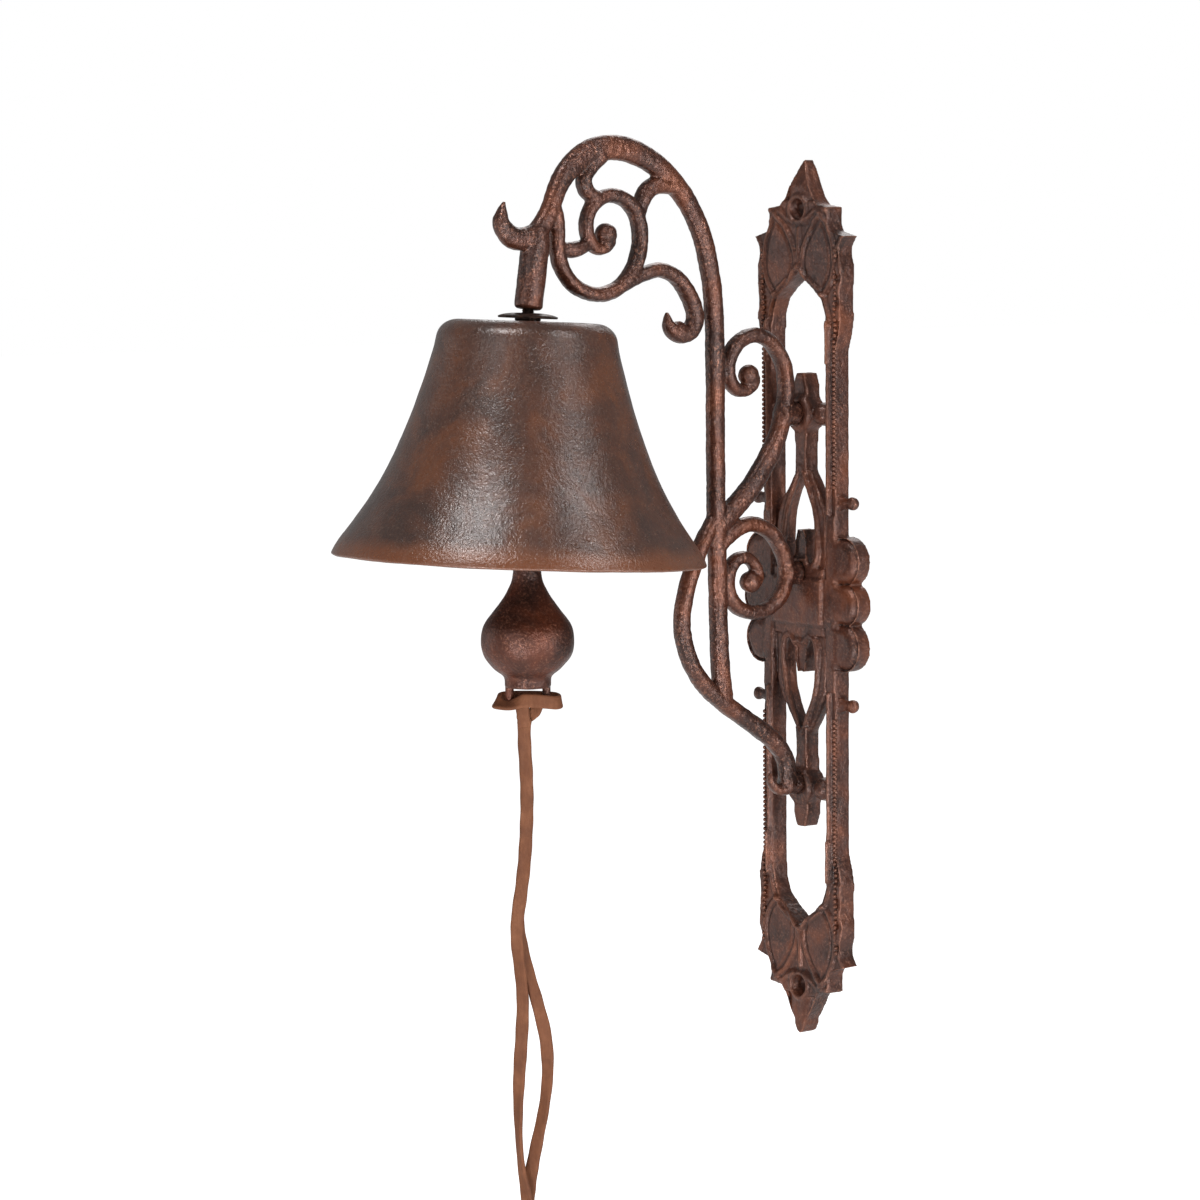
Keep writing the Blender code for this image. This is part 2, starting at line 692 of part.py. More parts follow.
def make_bell_fixing():
    """The rod with its eye, and the washers and nuts above and below the bell's crown."""
    bore = ROD_RADIUS + GAP
    # A thin domed washer lies on a narrow collar on top of the crown.
    rim = CROWN_WASHER_RADIUS
    dome = [(bore, 2.0), (6, 1.9), (10, 1.3), (rim, 0.6), (rim - 0.3, -0.2)]
    dome += [(10, 0.5), (6, 1.1), (bore, 1.2)]
    place = on_bell_axis(BELL_TOP - GAP - 1.2)
    turned("crown_washer", dome, place, dark_steel("crown_washer_steel"), segments=40)
    collar = [(bore, 1.9), (COLLAR_RADIUS - 0.2, 1.9), (COLLAR_RADIUS, 0), (bore, 0)]
    place = on_bell_axis(BELL_TOP - GAP)
    turned("crown_collar", collar, place, dark_steel("crown_collar_steel"), segments=24)
    below = BELL_TOP + BELL_WALL + GAP
    wide = INNER_WASHER_RADIUS
    washer = [(bore, 0), (wide, 0), (wide, -INNER_WASHER), (bore, -INNER_WASHER)]
    place = on_bell_axis(below)
    turned("inner_washer", washer, place, dark_steel("inner_washer_steel"), segments=32)
    place = on_bell_axis(below + INNER_WASHER + GAP)
    hexagon("inner_nut", INNER_NUT, bore, place, dark_steel("inner_nut_steel"))
    place = on_bell_axis(below + INNER_WASHER + INNER_NUT + 2 * GAP)
    hexagon("lock_nut", LOCK_NUT, bore, place, dark_steel("lock_nut_steel"))
    shank_end = EYE_DOWN - EYE_RADIUS
    shank = [(0, -ROD_TOP), (ROD_RADIUS - 0.6, -ROD_TOP), (ROD_RADIUS, -ROD_TOP - 0.8)]
    shank += [(ROD_RADIUS, -shank_end), (0, -shank_end)]
    rod = turned(
        "eye_bolt", shank, on_bell_axis(0), dark_steel("eye_bolt_steel"), segments=20
    )
    centre = down_axis(EYE_DOWN)
    across = Vector((1, 0, 0))
    circle = ring_points(centre, Vector((0, 1, 0)), Vector((0, 0, 1)), EYE_RADIUS)
    eye = tube("guide_eye", circle, EYE_WIRE, across, closed=True)
    return boolean(rod, "UNION", [eye])


# Clapper


def make_link(empty):
    """A closed oval link: two half circles joined by straight sides, in the plane of X and Z."""
    top = LINK_PIVOT
    lift = (LINK_PITCH / 2 - LINK_HALF_WIDTH) * MM
    middle = top - Vector((0, 0, LINK_PITCH / 2 * MM))
    side, up = Vector((1, 0, 0)), Vector((0, 0, 1))
    upper = ring_points(
        middle + up * lift, side, up, LINK_HALF_WIDTH, steps=10, stop=math.pi
    )
    lower = ring_points(
        middle - up * lift, -side, -up, LINK_HALF_WIDTH, steps=10, stop=math.pi
    )
    link = tube(
        "clapper_link",
        upper + lower,
        LINK_WIRE,
        Vector((0, 1, 0)),
        closed=True,
        material=dark_steel("clapper_link_steel"),
    )
    return hang(link, empty)


def ball_profile():
    """The clapper's onion shape, from its neck to its foot, as (radius, height) points."""
    neck = [(0, 29.0), (4.6, 29.0), (5.2, 26.0)]
    onion = smooth_points(
        [(5.6, 21), (6.5, 16.5), (9.3, 11), (13.5, 5.2), (17.7, -0.8), (18.8, -6.8)]
        + [(17.7, -12.6), (14.0, -17.6), (10.6, -20.4)]
    )
    foot = [(9.5, -22.0), (9.3, BALL_FOOT), (0, BALL_FOOT)]
    return neck + [tuple(p) for p in onion] + foot


def make_clapper(empty):
    upright = Matrix.Translation(at(0, CLAPPER_OUT, 0))
    iron = cast_brown("clapper_ball_iron")
    ball = turned("clapper_ball", ball_profile(), upright, iron)
    straight = LOOP_HALF_WIDTH - LOOP_CORNER
    down = Vector((0, 0, -1))
    left = by_thong(-straight, 0, LOOP_HEIGHT + LOOP_CORNER)
    right = by_thong(straight, 0, LOOP_HEIGHT + LOOP_CORNER)
    quarter = math.pi / 2
    path = [by_thong(-LOOP_HALF_WIDTH, 0, BALL_FOOT + 3)]
    path += ring_points(left, -bar_direction, down, LOOP_CORNER, 5, quarter)
    path += ring_points(right, down, bar_direction, LOOP_CORNER, 5, quarter)
    path += [by_thong(LOOP_HALF_WIDTH, 0, BALL_FOOT + 3)]
    loop = tube("guide_loop", path, LOOP_WIRE, front_direction)
    boolean(ball, "UNION", [loop])
    clear = CLAPPER_ROD_RADIUS + GAP
    floor = CLAPPER_ROD_FOOT - GAP
    bore = [(0, 40), (clear, 40), (clear, floor), (0, floor)]
    cut = turned("cut_ball_bore", bore, upright, segments=20)
    boolean(ball, "DIFFERENCE", [cut])
    hang(ball, empty)

    eye_height = CLAPPER_PIVOT.z / MM - TOP_EYE_RADIUS
    top = eye_height - TOP_EYE_RADIUS
    shank = [(0, top), (CLAPPER_ROD_RADIUS, top)]
    shank += [(CLAPPER_ROD_RADIUS, CLAPPER_ROD_FOOT), (0, CLAPPER_ROD_FOOT)]
    rod = turned(
        "clapper_rod", shank, upright, dark_steel("clapper_rod_steel"), segments=20
    )
    centre = at(0, CLAPPER_OUT, eye_height)
    circle = ring_points(centre, Vector((0, 1, 0)), Vector((0, 0, 1)), TOP_EYE_RADIUS)
    eye = tube("guide_top_eye", circle, TOP_EYE_WIRE, Vector((1, 0, 0)), closed=True)
    boolean(rod, "UNION", [eye])
    hang(rod, empty)


# Thong


def strand_routes():
    """The two strands' middle lines: (along the bar, in front, height), from the hitch to the knot."""
    together = [
        (-1.6, -38.3), (-1.6, -48), (-1.0, -60), (-0.8, -72), (-1.2, -84),
        (-2.0, -96), (-3.4, -108), (-5.0, -120),
    ]
    left = [
        (-5.2, 1.9, -130), (-4.0, 1.5, -142), (-3.2, 1.0, -154), (-3.8, 0.8, -168),
        (-4.8, 0.6, -182), (-5.4, 0.6, -196), (-5.2, 0.8, -210), (-4.2, 1.4, -222),
        (-2.6, 1.9, -232), (-2.0, 1.9, -238.7),
    ]
    right = [
        (-3.6, -1.9, -130), (-0.6, -1.7, -142), (2.6, -1.5, -154), (5.8, -1.2, -168),
        (6.6, -1.2, -182), (5.2, -1.2, -196), (2.4, -1.5, -210), (0.0, -1.9, -222),
        (-1.4, -1.9, -232), (-2.0, -1.9, -238.7),
    ]
    front = [(along, 1.9, height) for along, height in together] + left
    back = [(along, -1.9, height) for along, height in together] + right
    return {"thong_strand_left": front, "thong_strand_right": back}


def make_strands(empty):
    for name, route in strand_routes().items():
        points = smooth_points([by_thong(*p) for p in route])
        curve = bpy.data.curves.new(name, "CURVE")
        curve.dimensions = "3D"
        curve.bevel_depth = STRAND_RADIUS * MM
        curve.bevel_resolution = 2
        curve.use_fill_caps = True
        spline = curve.splines.new("POLY")
        spline.points.add(len(points) - 1)
        for knot, place in zip(spline.points, points):
            knot.co = (*(place - THONG_PIVOT), 1)
        curve.materials.append(tan_leather(f"{name}_leather"))
        item = bpy.data.objects.new(name, curve)
        bpy.context.scene.collection.objects.link(item)
        item.parent = empty


def make_hitch(empty):
    """The leather wrapped round the loop's bar, with a short neck that the strands leave."""
    along_bar = Matrix.Rotation(math.pi / 2, 4, "Y")
    turn = Matrix.Rotation(LOOP_TURN, 4, "Z")
    place = Matrix.Translation(THONG_PIVOT) @ turn @ along_bar
    half = HITCH_LENGTH / 2
    bore = LOOP_WIRE + GAP
    solid = [(0, half), (HITCH_RADIUS, half), (HITCH_RADIUS, -half), (0, -half)]
    hitch = turned(
        "thong_hitch", solid, place, tan_leather("thong_hitch_leather"), segments=20
    )
    corners = [(-4.6, -3.9), (1.4, -3.9), (1.4, 3.9), (-4.6, 3.9)]
    rings = [
        [by_thong(a, f, height) for a, f in corners]
        for height in (HITCH_FOOT, LOOP_HEIGHT - 1)
    ]
    neck = mesh_object("guide_neck", skin(rings))
    boolean(hitch, "UNION", [neck])
    hole = [(0, half + 4), (bore, half + 4), (bore, -half - 4), (0, -half - 4)]
    cut = turned("cut_hitch_bore", hole, place, segments=20)
    boolean(hitch, "DIFFERENCE", [cut])
    return hang(hitch, empty)


def make_knot(empty):
    """The knot that ties the two strands, with the short cut tails below it."""
    middle = KNOT_TOP - KNOT_HEIGHT / 2
    knot = [(0, KNOT_TOP), (4.2, KNOT_TOP)]
    knot += [(5.2, middle), (3.8, KNOT_TOP - KNOT_HEIGHT)]
    knot += [(2.4, KNOT_TOP - KNOT_HEIGHT - 2), (2.6, TAIL_FOOT), (0, TAIL_FOOT)]
    centre = by_thong(-2.0, 0, 0)
    place = Matrix.Translation(centre)
    item = turned(
        "thong_knot", knot, place, tan_leather("thong_knot_leather"), segments=16
    )
    return hang(item, empty)


def main():
    clear_scene()
    bell_pivot = pivot("bell_pivot", BELL_PIVOT)
    link_pivot = pivot("link_pivot", LINK_PIVOT)
    clapper_pivot = pivot("clapper_pivot", CLAPPER_PIVOT, link_pivot)
    thong_pivot = pivot("thong_pivot", THONG_PIVOT, clapper_pivot)
    make_plate()
    make_arm()
    make_arm_screws()
    make_bell_fixing()
    make_bell(bell_pivot)
    make_link(link_pivot)
    make_clapper(clapper_pivot)
    make_hitch(thong_pivot)
    make_strands(thong_pivot)
    make_knot(thong_pivot)


main()
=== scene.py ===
"""Looks of the wall mounted bell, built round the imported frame.

Lengths are in millimetres unless they say otherwise. The wall plate's flat back is the plane
y = 0, "out" is the distance from the wall, and +Z is up.
"""

import math

import bmesh
import bpy
import numpy as np
from mathutils import Matrix, Vector, noise


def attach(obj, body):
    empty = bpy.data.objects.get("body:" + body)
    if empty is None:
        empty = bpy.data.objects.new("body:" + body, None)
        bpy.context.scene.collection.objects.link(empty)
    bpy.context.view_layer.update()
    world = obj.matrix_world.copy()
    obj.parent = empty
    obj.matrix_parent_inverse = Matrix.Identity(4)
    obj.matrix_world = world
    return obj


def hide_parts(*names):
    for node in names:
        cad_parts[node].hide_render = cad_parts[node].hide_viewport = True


MM = 0.001
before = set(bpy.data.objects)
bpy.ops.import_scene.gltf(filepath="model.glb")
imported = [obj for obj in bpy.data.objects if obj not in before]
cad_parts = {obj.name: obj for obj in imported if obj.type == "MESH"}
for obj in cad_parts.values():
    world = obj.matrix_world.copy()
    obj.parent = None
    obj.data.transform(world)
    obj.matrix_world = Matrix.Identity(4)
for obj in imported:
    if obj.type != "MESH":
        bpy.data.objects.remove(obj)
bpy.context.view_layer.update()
scene = bpy.context.scene

# Where things sit, as in the CAD: (out, height) of the stub's end, then distances and angles
CLAPPER_OUT = 150.0249
STUB_FOOT = (148.3, 125.4)
STUB_TILT = math.radians(8.3)
BELL_TILT = math.radians(3.2)
CROWN_DROP = 5.0
BELL_WALL = 3.6
GAP = 0.3
EYE_DROP = 29.0
EYE_RADIUS = 5.2
EYE_BAR = 1.8
LINK_BAR = 1.4
LINK_LENGTH = 12
ROD_BAR = 1.6
ROD_EYE_RADIUS = 4.8
BOSS_HEIGHT = 79
HOLE_HEIGHT = 164.3
PLATE_OUT = 6.9

# The staple's bar runs along BAR, and FRONT points square to it, away from the wall
LOOP_TURN = math.radians(53.0)
BAR = Vector((math.cos(LOOP_TURN), math.sin(LOOP_TURN), 0))
FRONT = Vector((math.sin(LOOP_TURN), -math.cos(LOOP_TURN), 0))


# Camera, floor and light

# The photograph's view: azimuth, pitch and roll in degrees, place in metres
CAMERA_ANGLES = (52.7623, 5.5167, -0.4025)
CAMERA_PLACE = (1.26769, -1.07701, 0.16087)
LENS = 118.386
SENSOR = 36
CLIP_END = 50

# In metres
FLOOR_HEIGHT = -0.42
FLOOR_REACH = 14
LIGHTS_AIM = Vector((0, -0.15, 0.06))

WORLD_LIGHT = 0.21
FLOOR_GREY = 0.9
FLOOR_GLOW = (0.12, 0.9)

# Name, azimuth from -Y towards +X, elevation, distance, width and height in metres, watts
LIGHTS = (
    ("box_left", 9, 61, 1.4, 0.28, 0.28, 6.8),
    ("box_right", 116, 46, 1.4, 0.20, 0.34, 3.4),
    ("strip_right", 112, -2, 1.6, 0.24, 1.0, 8),
    ("strip_mid", 80, -2, 1.6, 0.12, 1.0, 9),
    ("box_low", 32, -26, 0.8, 0.18, 0.18, 2.4),
    ("fill_front", 15, 12, 2.6, 1.5, 1.5, 13),
    ("fill_left", -52, -2, 2.0, 1.0, 1.0, 3.5),
    ("fill_back", -140, 35, 1.8, 1.0, 1.0, 7),
)


def from_azimuth(turn, rise):
    """The unit direction at an azimuth from -Y towards +X and an elevation."""
    return Vector(
        (math.sin(turn) * math.cos(rise), -math.cos(turn) * math.cos(rise), math.sin(rise))
    )


def make_camera():
    turn, pitch, roll = (math.radians(a) for a in CAMERA_ANGLES)
    back = from_azimuth(turn, pitch)
    level = Vector((math.cos(turn), math.sin(turn), 0))
    above = back.cross(level)
    right = level * math.cos(roll) + above * math.sin(roll)
    up = above * math.cos(roll) - level * math.sin(roll)
    data = bpy.data.cameras.new("camera")
    data.lens = LENS
    data.sensor_width = SENSOR
    data.clip_end = CLIP_END
    camera = bpy.data.objects.new("camera", data)
    place = Matrix((right, up, back)).transposed().to_4x4()
    place.translation = CAMERA_PLACE
    camera.matrix_world = place
    scene.collection.objects.link(camera)
    scene.camera = camera


def lamp(name, place, width, height, power):
    data = bpy.data.lights.new(name, "AREA")
    data.shape = "RECTANGLE"
    data.size = width
    data.size_y = height
    data.energy = power
    item = bpy.data.objects.new(name, data)
    item.location = place
    item.rotation_euler = (LIGHTS_AIM - place).to_track_quat("-Z", "Y").to_euler()
    scene.collection.objects.link(item)


def make_world():
    """A dim white world that the camera sees as pure white."""
    scene.view_settings.view_transform = "Standard"
    world = bpy.data.worlds.new("studio")
    scene.world = world
    world.use_nodes = True
    tree = world.node_tree
    light = tree.nodes["Background"]
    light.inputs["Color"].default_value = (1, 1, 1, 1)
    light.inputs["Strength"].default_value = WORLD_LIGHT
    shown = tree.nodes.new("ShaderNodeBackground")
    shown.inputs["Color"].default_value = (1, 1, 1, 1)
    shown.inputs["Strength"].default_value = 1.0
    path = tree.nodes.new("ShaderNodeLightPath")
    mix = tree.nodes.new("ShaderNodeMixShader")
    tree.links.new(path.outputs["Is Camera Ray"], mix.inputs[0])
    tree.links.new(light.outputs[0], mix.inputs[1])
    tree.links.new(shown.outputs[0], mix.inputs[2])
    tree.links.new(mix.outputs[0], tree.nodes["World Output"].inputs["Surface"])


def make_floor():
    """A pale floor whose far edge melts into the white behind it."""
    mesh = bpy.data.meshes.new("floor")
    signs = ((-1, -1), (1, -1), (1, 1), (-1, 1))
    corners = [(sx * FLOOR_REACH, sy * FLOOR_REACH, FLOOR_HEIGHT) for sx, sy in signs]
    mesh.from_pydata(corners, [], [(0, 1, 2, 3)])
    floor = bpy.data.objects.new("floor", mesh)
    scene.collection.objects.link(floor)
    white = bpy.data.materials.new("floor_white")
    white.use_nodes = True
    tree = white.node_tree
    shader = tree.nodes["Principled BSDF"]
    shader.inputs["Base Color"].default_value = (FLOOR_GREY, FLOOR_GREY, FLOOR_GREY, 1)
    shader.inputs["Roughness"].default_value = 0.9
    shader.inputs["Emission Color"].default_value = (1, 1, 1, 1)
    path = tree.nodes.new("ShaderNodeLightPath")
    seen = tree.nodes.new("ShaderNodeMapRange")
    seen.inputs["To Min"].default_value, seen.inputs["To Max"].default_value = FLOOR_GLOW
    tree.links.new(path.outputs["Is Camera Ray"], seen.inputs["Value"])
    tree.links.new(seen.outputs["Result"], shader.inputs["Emission Strength"])
    mesh.materials.append(white)


make_camera()
make_world()
make_floor()
for name, azimuth, elevation, distance, width, height, watts in LIGHTS:
    ray = from_azimuth(math.radians(azimuth), math.radians(elevation))
    lamp(name, LIGHTS_AIM + ray * distance, width, height, watts)


# Mesh helpers


def at(x, out, height):
    return Vector((x, -out, height)) * MM


def by_thong(along, front, height):
    """A point by the clapper's axis, along the staple's bar and to its front."""
    spot = BAR * along + FRONT * front
    return Vector((spot.x, spot.y - CLAPPER_OUT, height)) * MM


def smooth_points(points, spans):
    """A Catmull-Rom curve through points of any dimension, as a numpy array."""
    p = np.array(points, float)
    p = np.vstack([2 * p[0] - p[1], p, 2 * p[-1] - p[-2]])
    t = np.arange(spans)[:, None] / spans
    made = []
    for a, b, c, d in zip(p, p[1:], p[2:], p[3:]):
        square = (2 * a - 5 * b + 4 * c - d) * t**2
        cube = (3 * b - a - 3 * c + d) * t**3
        made.append(0.5 * (2 * b + (c - a) * t + square + cube))
    return np.vstack(made + [p[-2][None]])


class Shell:
    """Collects closed shells of vertices and faces for one mesh."""

    def __init__(self):
        self.verts = []
        self.faces = []

    def rings(self, rings, closed=False):
        """Joins equal rings of points in a row: capped, or closed into a loop."""
        start = len(self.verts)
        count = len(rings[0])
        for ring in rings:
            self.verts.extend(tuple(p) for p in ring)
        total = len(rings)
        for i in range(total if closed else total - 1):
            a = start + i * count
            b = start + (i + 1) % total * count
            for k in range(count):
                m = (k + 1) % count
                self.faces.append((a + k, a + m, b + m, b + k))
        if not closed:
            self.faces.append(tuple(range(start + count - 1, start - 1, -1)))
            last = start + (total - 1) * count
            self.faces.append(tuple(range(last, last + count)))

    def lathe(self, profile, place, segments=64, closed=False):
        """Turns (radius, height) points about a matrix's Z; poles where the radius is 0."""
        rows = []
        for radius, height in profile:
            if radius <= 1e-6:
                rows.append([len(self.verts)])
                self.verts.append(tuple(place @ (Vector((0, 0, height)) * MM)))
                continue
            rows.append(list(range(len(self.verts), len(self.verts) + segments)))
            for k in range(segments):
                t = math.tau * k / segments
                spot = Vector((radius * math.cos(t), radius * math.sin(t), height)) * MM
                self.verts.append(tuple(place @ spot))
        pairs = list(zip(rows, rows[1:]))
        if closed:
            pairs.append((rows[-1], rows[0]))
        for low, high in pairs:
            for k in range(segments):
                m = (k + 1) % segments
                face = [low[k % len(low)], low[m % len(low)]]
                face += [high[m % len(high)], high[k % len(high)]]
                self.faces.append(tuple(dict.fromkeys(face)))

    def tube(self, points, radius, across, sides, closed=False):
        """A bar along points in metres; across is square to the curve's plane."""
        rings = []
        count = len(points)
        for i, here in enumerate(points):
            after = points[(i + 1) % count] if closed else points[min(i + 1, count - 1)]
            before = points[i - 1] if closed or i else points[0]
            side = (after - before).normalized().cross(across).normalized()
            r = radius[i] if hasattr(radius, "__len__") else radius
            turns = (math.tau * k / sides for k in range(sides))
            rings.append(
                [here + (side * math.cos(t) + across * math.sin(t)) * r * MM for t in turns]
            )
        self.rings(rings, closed)

    def object(self, name, angle=40):
        """The mesh object; an angle shades it smooth up to that many degrees."""
        mesh = bpy.data.meshes.new(name)
        mesh.from_pydata(self.verts, [], self.faces)
        mesh.validate()
        item = bpy.data.objects.new(name, mesh)
        scene.collection.objects.link(item)
        recalc(mesh)
        if angle:
            mesh.shade_smooth()
            mesh.set_sharp_from_angle(angle=math.radians(angle))
        return item


def recalc(mesh):
    """Turns every face outward."""
    bm = bmesh.new()
    bm.from_mesh(mesh)
    bmesh.ops.recalc_face_normals(bm, faces=bm.faces)
    bm.to_mesh(mesh)
    bm.free()


def smooth_object(shell, name):
    item = shell.object(name, angle=0)
    item.data.shade_smooth()
    return item


def applied(item):
    """Replaces an object's mesh by what its modifiers make of it."""
    graph = bpy.context.evaluated_depsgraph_get()
    mesh = bpy.data.meshes.new_from_object(item.evaluated_get(graph))
    item.modifiers.clear()
    item.data = mesh


def eased(item, factor, rounds):
    ease = item.modifiers.new("ease", "SMOOTH")
    ease.factor = factor
    ease.iterations = rounds
    applied(item)


def fused(item, voxel, rounds):
    """Melts the shells of an object into one skin with small fillets, as a casting has."""
    step = item.modifiers.new("melt", "REMESH")
    step.mode = "VOXEL"
    step.voxel_size = voxel * MM
    step.adaptivity = 0
    eased(item, 0.5, rounds)
    item.data.shade_smooth()


def coords(mesh):
    co = np.empty(len(mesh.vertices) * 3)
    mesh.vertices.foreach_get("co", co)
    return co.reshape(-1, 3)


def normals(mesh):
    no = np.empty(len(mesh.vertices) * 3)
    mesh.vertex_normals.foreach_get("vector", no)
    return no.reshape(-1, 3)


def put(mesh, co):
    mesh.vertices.foreach_set("co", co.ravel())
    mesh.update()


def uneven(item, *layers):
    """Moves each vertex along its normal by noise; a layer is (grain size, height)."""
    mesh = item.data
    co, no = coords(mesh), normals(mesh)
    shift = np.zeros(len(co))
    for size, height in layers:
        scaled = co / (size * MM)
        shift += height * np.array([noise.noise(p) for p in scaled.tolist()])
    put(mesh, co + no * shift[:, None] * MM)


def outward(x, height, out):
    """A frame at that place whose Z points away from the wall."""
    return Matrix.Translation(at(x, out, height)) @ Matrix.Rotation(math.pi / 2, 4, "X")


def down_axis(distance):
    """A point on the bell's axis, that far down from the stub's end."""
    along = Vector((0, -math.sin(BELL_TILT), -math.cos(BELL_TILT)))
    return at(0, *STUB_FOOT) + along * distance * MM


def on_bell_axis(distance):
    return Matrix.Translation(down_axis(distance)) @ Matrix.Rotation(-BELL_TILT, 4, "X")


def bezier(handles, steps):
    """Points along a cubic Bezier curve."""
    t = np.linspace(0, 1, steps + 1)[:, None]
    a, b, c, d = (np.array(h, float) for h in handles)
    return (1 - t) ** 3 * a + 3 * t * (1 - t) ** 2 * b + 3 * t * t * (1 - t) * c + t**3 * d


def arc(centre, radius, start, stop, steps):
    """2-D points along an arc, angles in degrees."""
    turns = np.radians(np.linspace(start, stop, steps + 1))
    return [(centre[0] + radius * math.cos(t), centre[1] + radius * math.sin(t)) for t in turns]


def ring_points(centre, first, second, radius, steps):
    turns = (math.tau * k / steps for k in range(steps))
    return [centre + (first * math.cos(t) + second * math.sin(t)) * radius * MM for t in turns]


# Materials


class Look:
    """A small builder for one procedural material."""

    def __init__(self, name):
        self.material = bpy.data.materials.new(name)
        self.material.use_nodes = True
        self.tree = self.material.node_tree
        self.shader = self.tree.nodes["Principled BSDF"]
        self.place = self.add("ShaderNodeTexCoord").outputs["Object"]

    def add(self, kind, **values):
        node = self.tree.nodes.new(kind)
        for key, value in values.items():
            setattr(node, key, value)
        return node

    def link(self, a, b):
        self.tree.links.new(a, b)

    def stretched(self, scale):
        node = self.add("ShaderNodeMapping")
        node.inputs["Scale"].default_value = scale
        self.link(self.place, node.inputs["Vector"])
        return node.outputs[0]

    def noise(self, size, detail=4.0, rough=0.55, vector=None, twist=0.0):
        """Noise whose features are about size millimetres across."""
        node = self.add("ShaderNodeTexNoise")
        node.inputs["Scale"].default_value = 1 / (size * MM)
        node.inputs["Detail"].default_value = detail
        node.inputs["Roughness"].default_value = rough
        node.inputs["Distortion"].default_value = twist
        self.link(vector or self.place, node.inputs["Vector"])
        return node.outputs["Fac"]

    def ramp(self, fac, *stops):
        node = self.add("ShaderNodeValToRGB")
        bar = node.color_ramp
        while len(bar.elements) < len(stops):
            bar.elements.new(0.5)
        for spot, (where, colour) in zip(bar.elements, stops):
            spot.position = where
            grey = not hasattr(colour, "__len__")
            spot.color = (colour, colour, colour, 1) if grey else (*colour, 1)
        self.link(fac, node.inputs["Fac"])
        return node.outputs["Color"]

    def mix(self, fac, a, b):
        """Colour a where fac is 0 and b where it is 1; b may be a plain colour."""
        node = self.add("ShaderNodeMix", data_type="RGBA")
        self.link(fac, node.inputs[0])
        self.link(a, node.inputs[6])
        node.inputs[7].default_value = (*b, 1)
        return node.outputs[2]

    def maths(self, kind, a, b):
        node = self.add("ShaderNodeMath", operation=kind)
        for socket, value in zip(node.inputs, (a, b)):
            if hasattr(value, "is_output"):
                self.link(value, socket)
            else:
                socket.default_value = value
        return node.outputs[0]

    def bump(self, height, depth, under=None):
        """Bump whose height 1 stands for depth millimetres."""
        node = self.add("ShaderNodeBump")
        node.inputs["Distance"].default_value = depth * MM
        node.inputs["Strength"].default_value = 1.0
        self.link(height, node.inputs["Height"])
        if under is not None:
            self.link(under, node.inputs["Normal"])
        return node.outputs["Normal"]

    def done(self, colour, rough, normal, **values):
        for key, value in (("Base Color", colour), ("Roughness", rough), ("Normal", normal)):
            self.link(value, self.shader.inputs[key])
        for key, value in values.items():
            self.shader.inputs[key.replace("_", " ")].default_value = value
        return self.material


DARK, MID, WARM = (0.035, 0.0128, 0.0088), (0.078, 0.0262, 0.0160), (0.145, 0.0415, 0.0175)
COPPER = (0.64, 0.29, 0.185)
RIM_RUST = (0.17, 0.050, 0.015)
RIM_SHIFT = 0.75
COAT_ROUGHNESS = 0.2


def rusty_rim(look, colour):
    """Warms the bell's lowest part: depth in units of 100 mm, shifted into a ramp's 0 to 1."""
    unit = 1 / MM / 100
    down = look.add("ShaderNodeVectorMath", operation="DOT_PRODUCT")
    down.inputs[1].default_value = (0, -math.sin(BELL_TILT) * unit, -math.cos(BELL_TILT) * unit)
    look.link(look.place, down.inputs[0])
    wavy = look.maths("ADD", down.outputs["Value"], look.maths("MULTIPLY", look.noise(14), 0.06))
    rim = look.ramp(look.maths("ADD", wavy, RIM_SHIFT), (0.515, 0.0), (0.565, 0.75))
    return look.mix(rim, colour, RIM_RUST)


def iron_look(
    name, tones=(DARK, MID, WARM), copper=COPPER, flecks=0.25, wear=0.1, metal=0.5,
    rough=(0.30, 0.46), coat=0.1, bumps=(0.32, 0.30, 0.09), rim=False,
):
    """Brown painted cast iron: dark ground, rusty patches, bright copper flecks, painted shade in the
    hollows, a grainy skin.

    flecks and wear are how bright the specks and the rubbed edges are, metal is how metallic
    the paint itself is, and bumps are the depths of the coarse, middle and fine grain.
    """
    dark, mid, warm = tones
    look = Look(name)
    patches = look.noise(21, 5, 0.6, twist=0.5)
    speckle = look.noise(1.1, 3, 0.6)
    colour = look.ramp(patches, (0.36, dark), (0.5, mid), (0.66, warm))
    bright = look.ramp(speckle, (0.52, 0.0), (0.66, 1.0))
    clouds = look.ramp(look.noise(8, 3, 0.6), (0.35, 0.25 * flecks), (0.6, flecks))
    bright = look.maths("MULTIPLY", bright, clouds)
    if rim:
        colour = rusty_rim(look, colour)
    edge = look.add("ShaderNodeNewGeometry").outputs["Pointiness"]
    rubbed = look.ramp(edge, (0.51, 0.0), (0.58, wear))
    worn = look.maths("MULTIPLY", rubbed, look.ramp(speckle, (0.35, 0.3), (0.6, 1.0)))
    bright = look.maths("MAXIMUM", bright, worn)
    colour = look.mix(bright, colour, copper)
    # painted shade: concave places, where pointiness is low, are darkened towards near black
    painted_hollow_shade = look.ramp(edge, (0.43, 0.8), (0.495, 0.0))
    colour = look.mix(painted_hollow_shade, colour, tuple(c * 0.3 for c in dark))
    normal = look.bump(look.noise(4.2, 3, 0.5), bumps[0])
    normal = look.bump(look.noise(1.3, 3, 0.6), bumps[1], under=normal)
    normal = look.bump(look.noise(0.5, 2, 0.5), bumps[2], under=normal)
    shine = look.ramp(look.noise(2.6, 4, 0.7), (0.35, rough[0]), (0.7, rough[1]))
    metal = look.maths("ADD", look.maths("MULTIPLY", bright, 0.95 - metal), metal)
    look.link(metal, look.shader.inputs["Metallic"])
    look.link(normal, look.shader.inputs["Coat Normal"])
    return look.done(
        colour, shine, normal,
        Specular_IOR_Level=0.5, Coat_Weight=coat, Coat_Roughness=COAT_ROUGHNESS,
    )


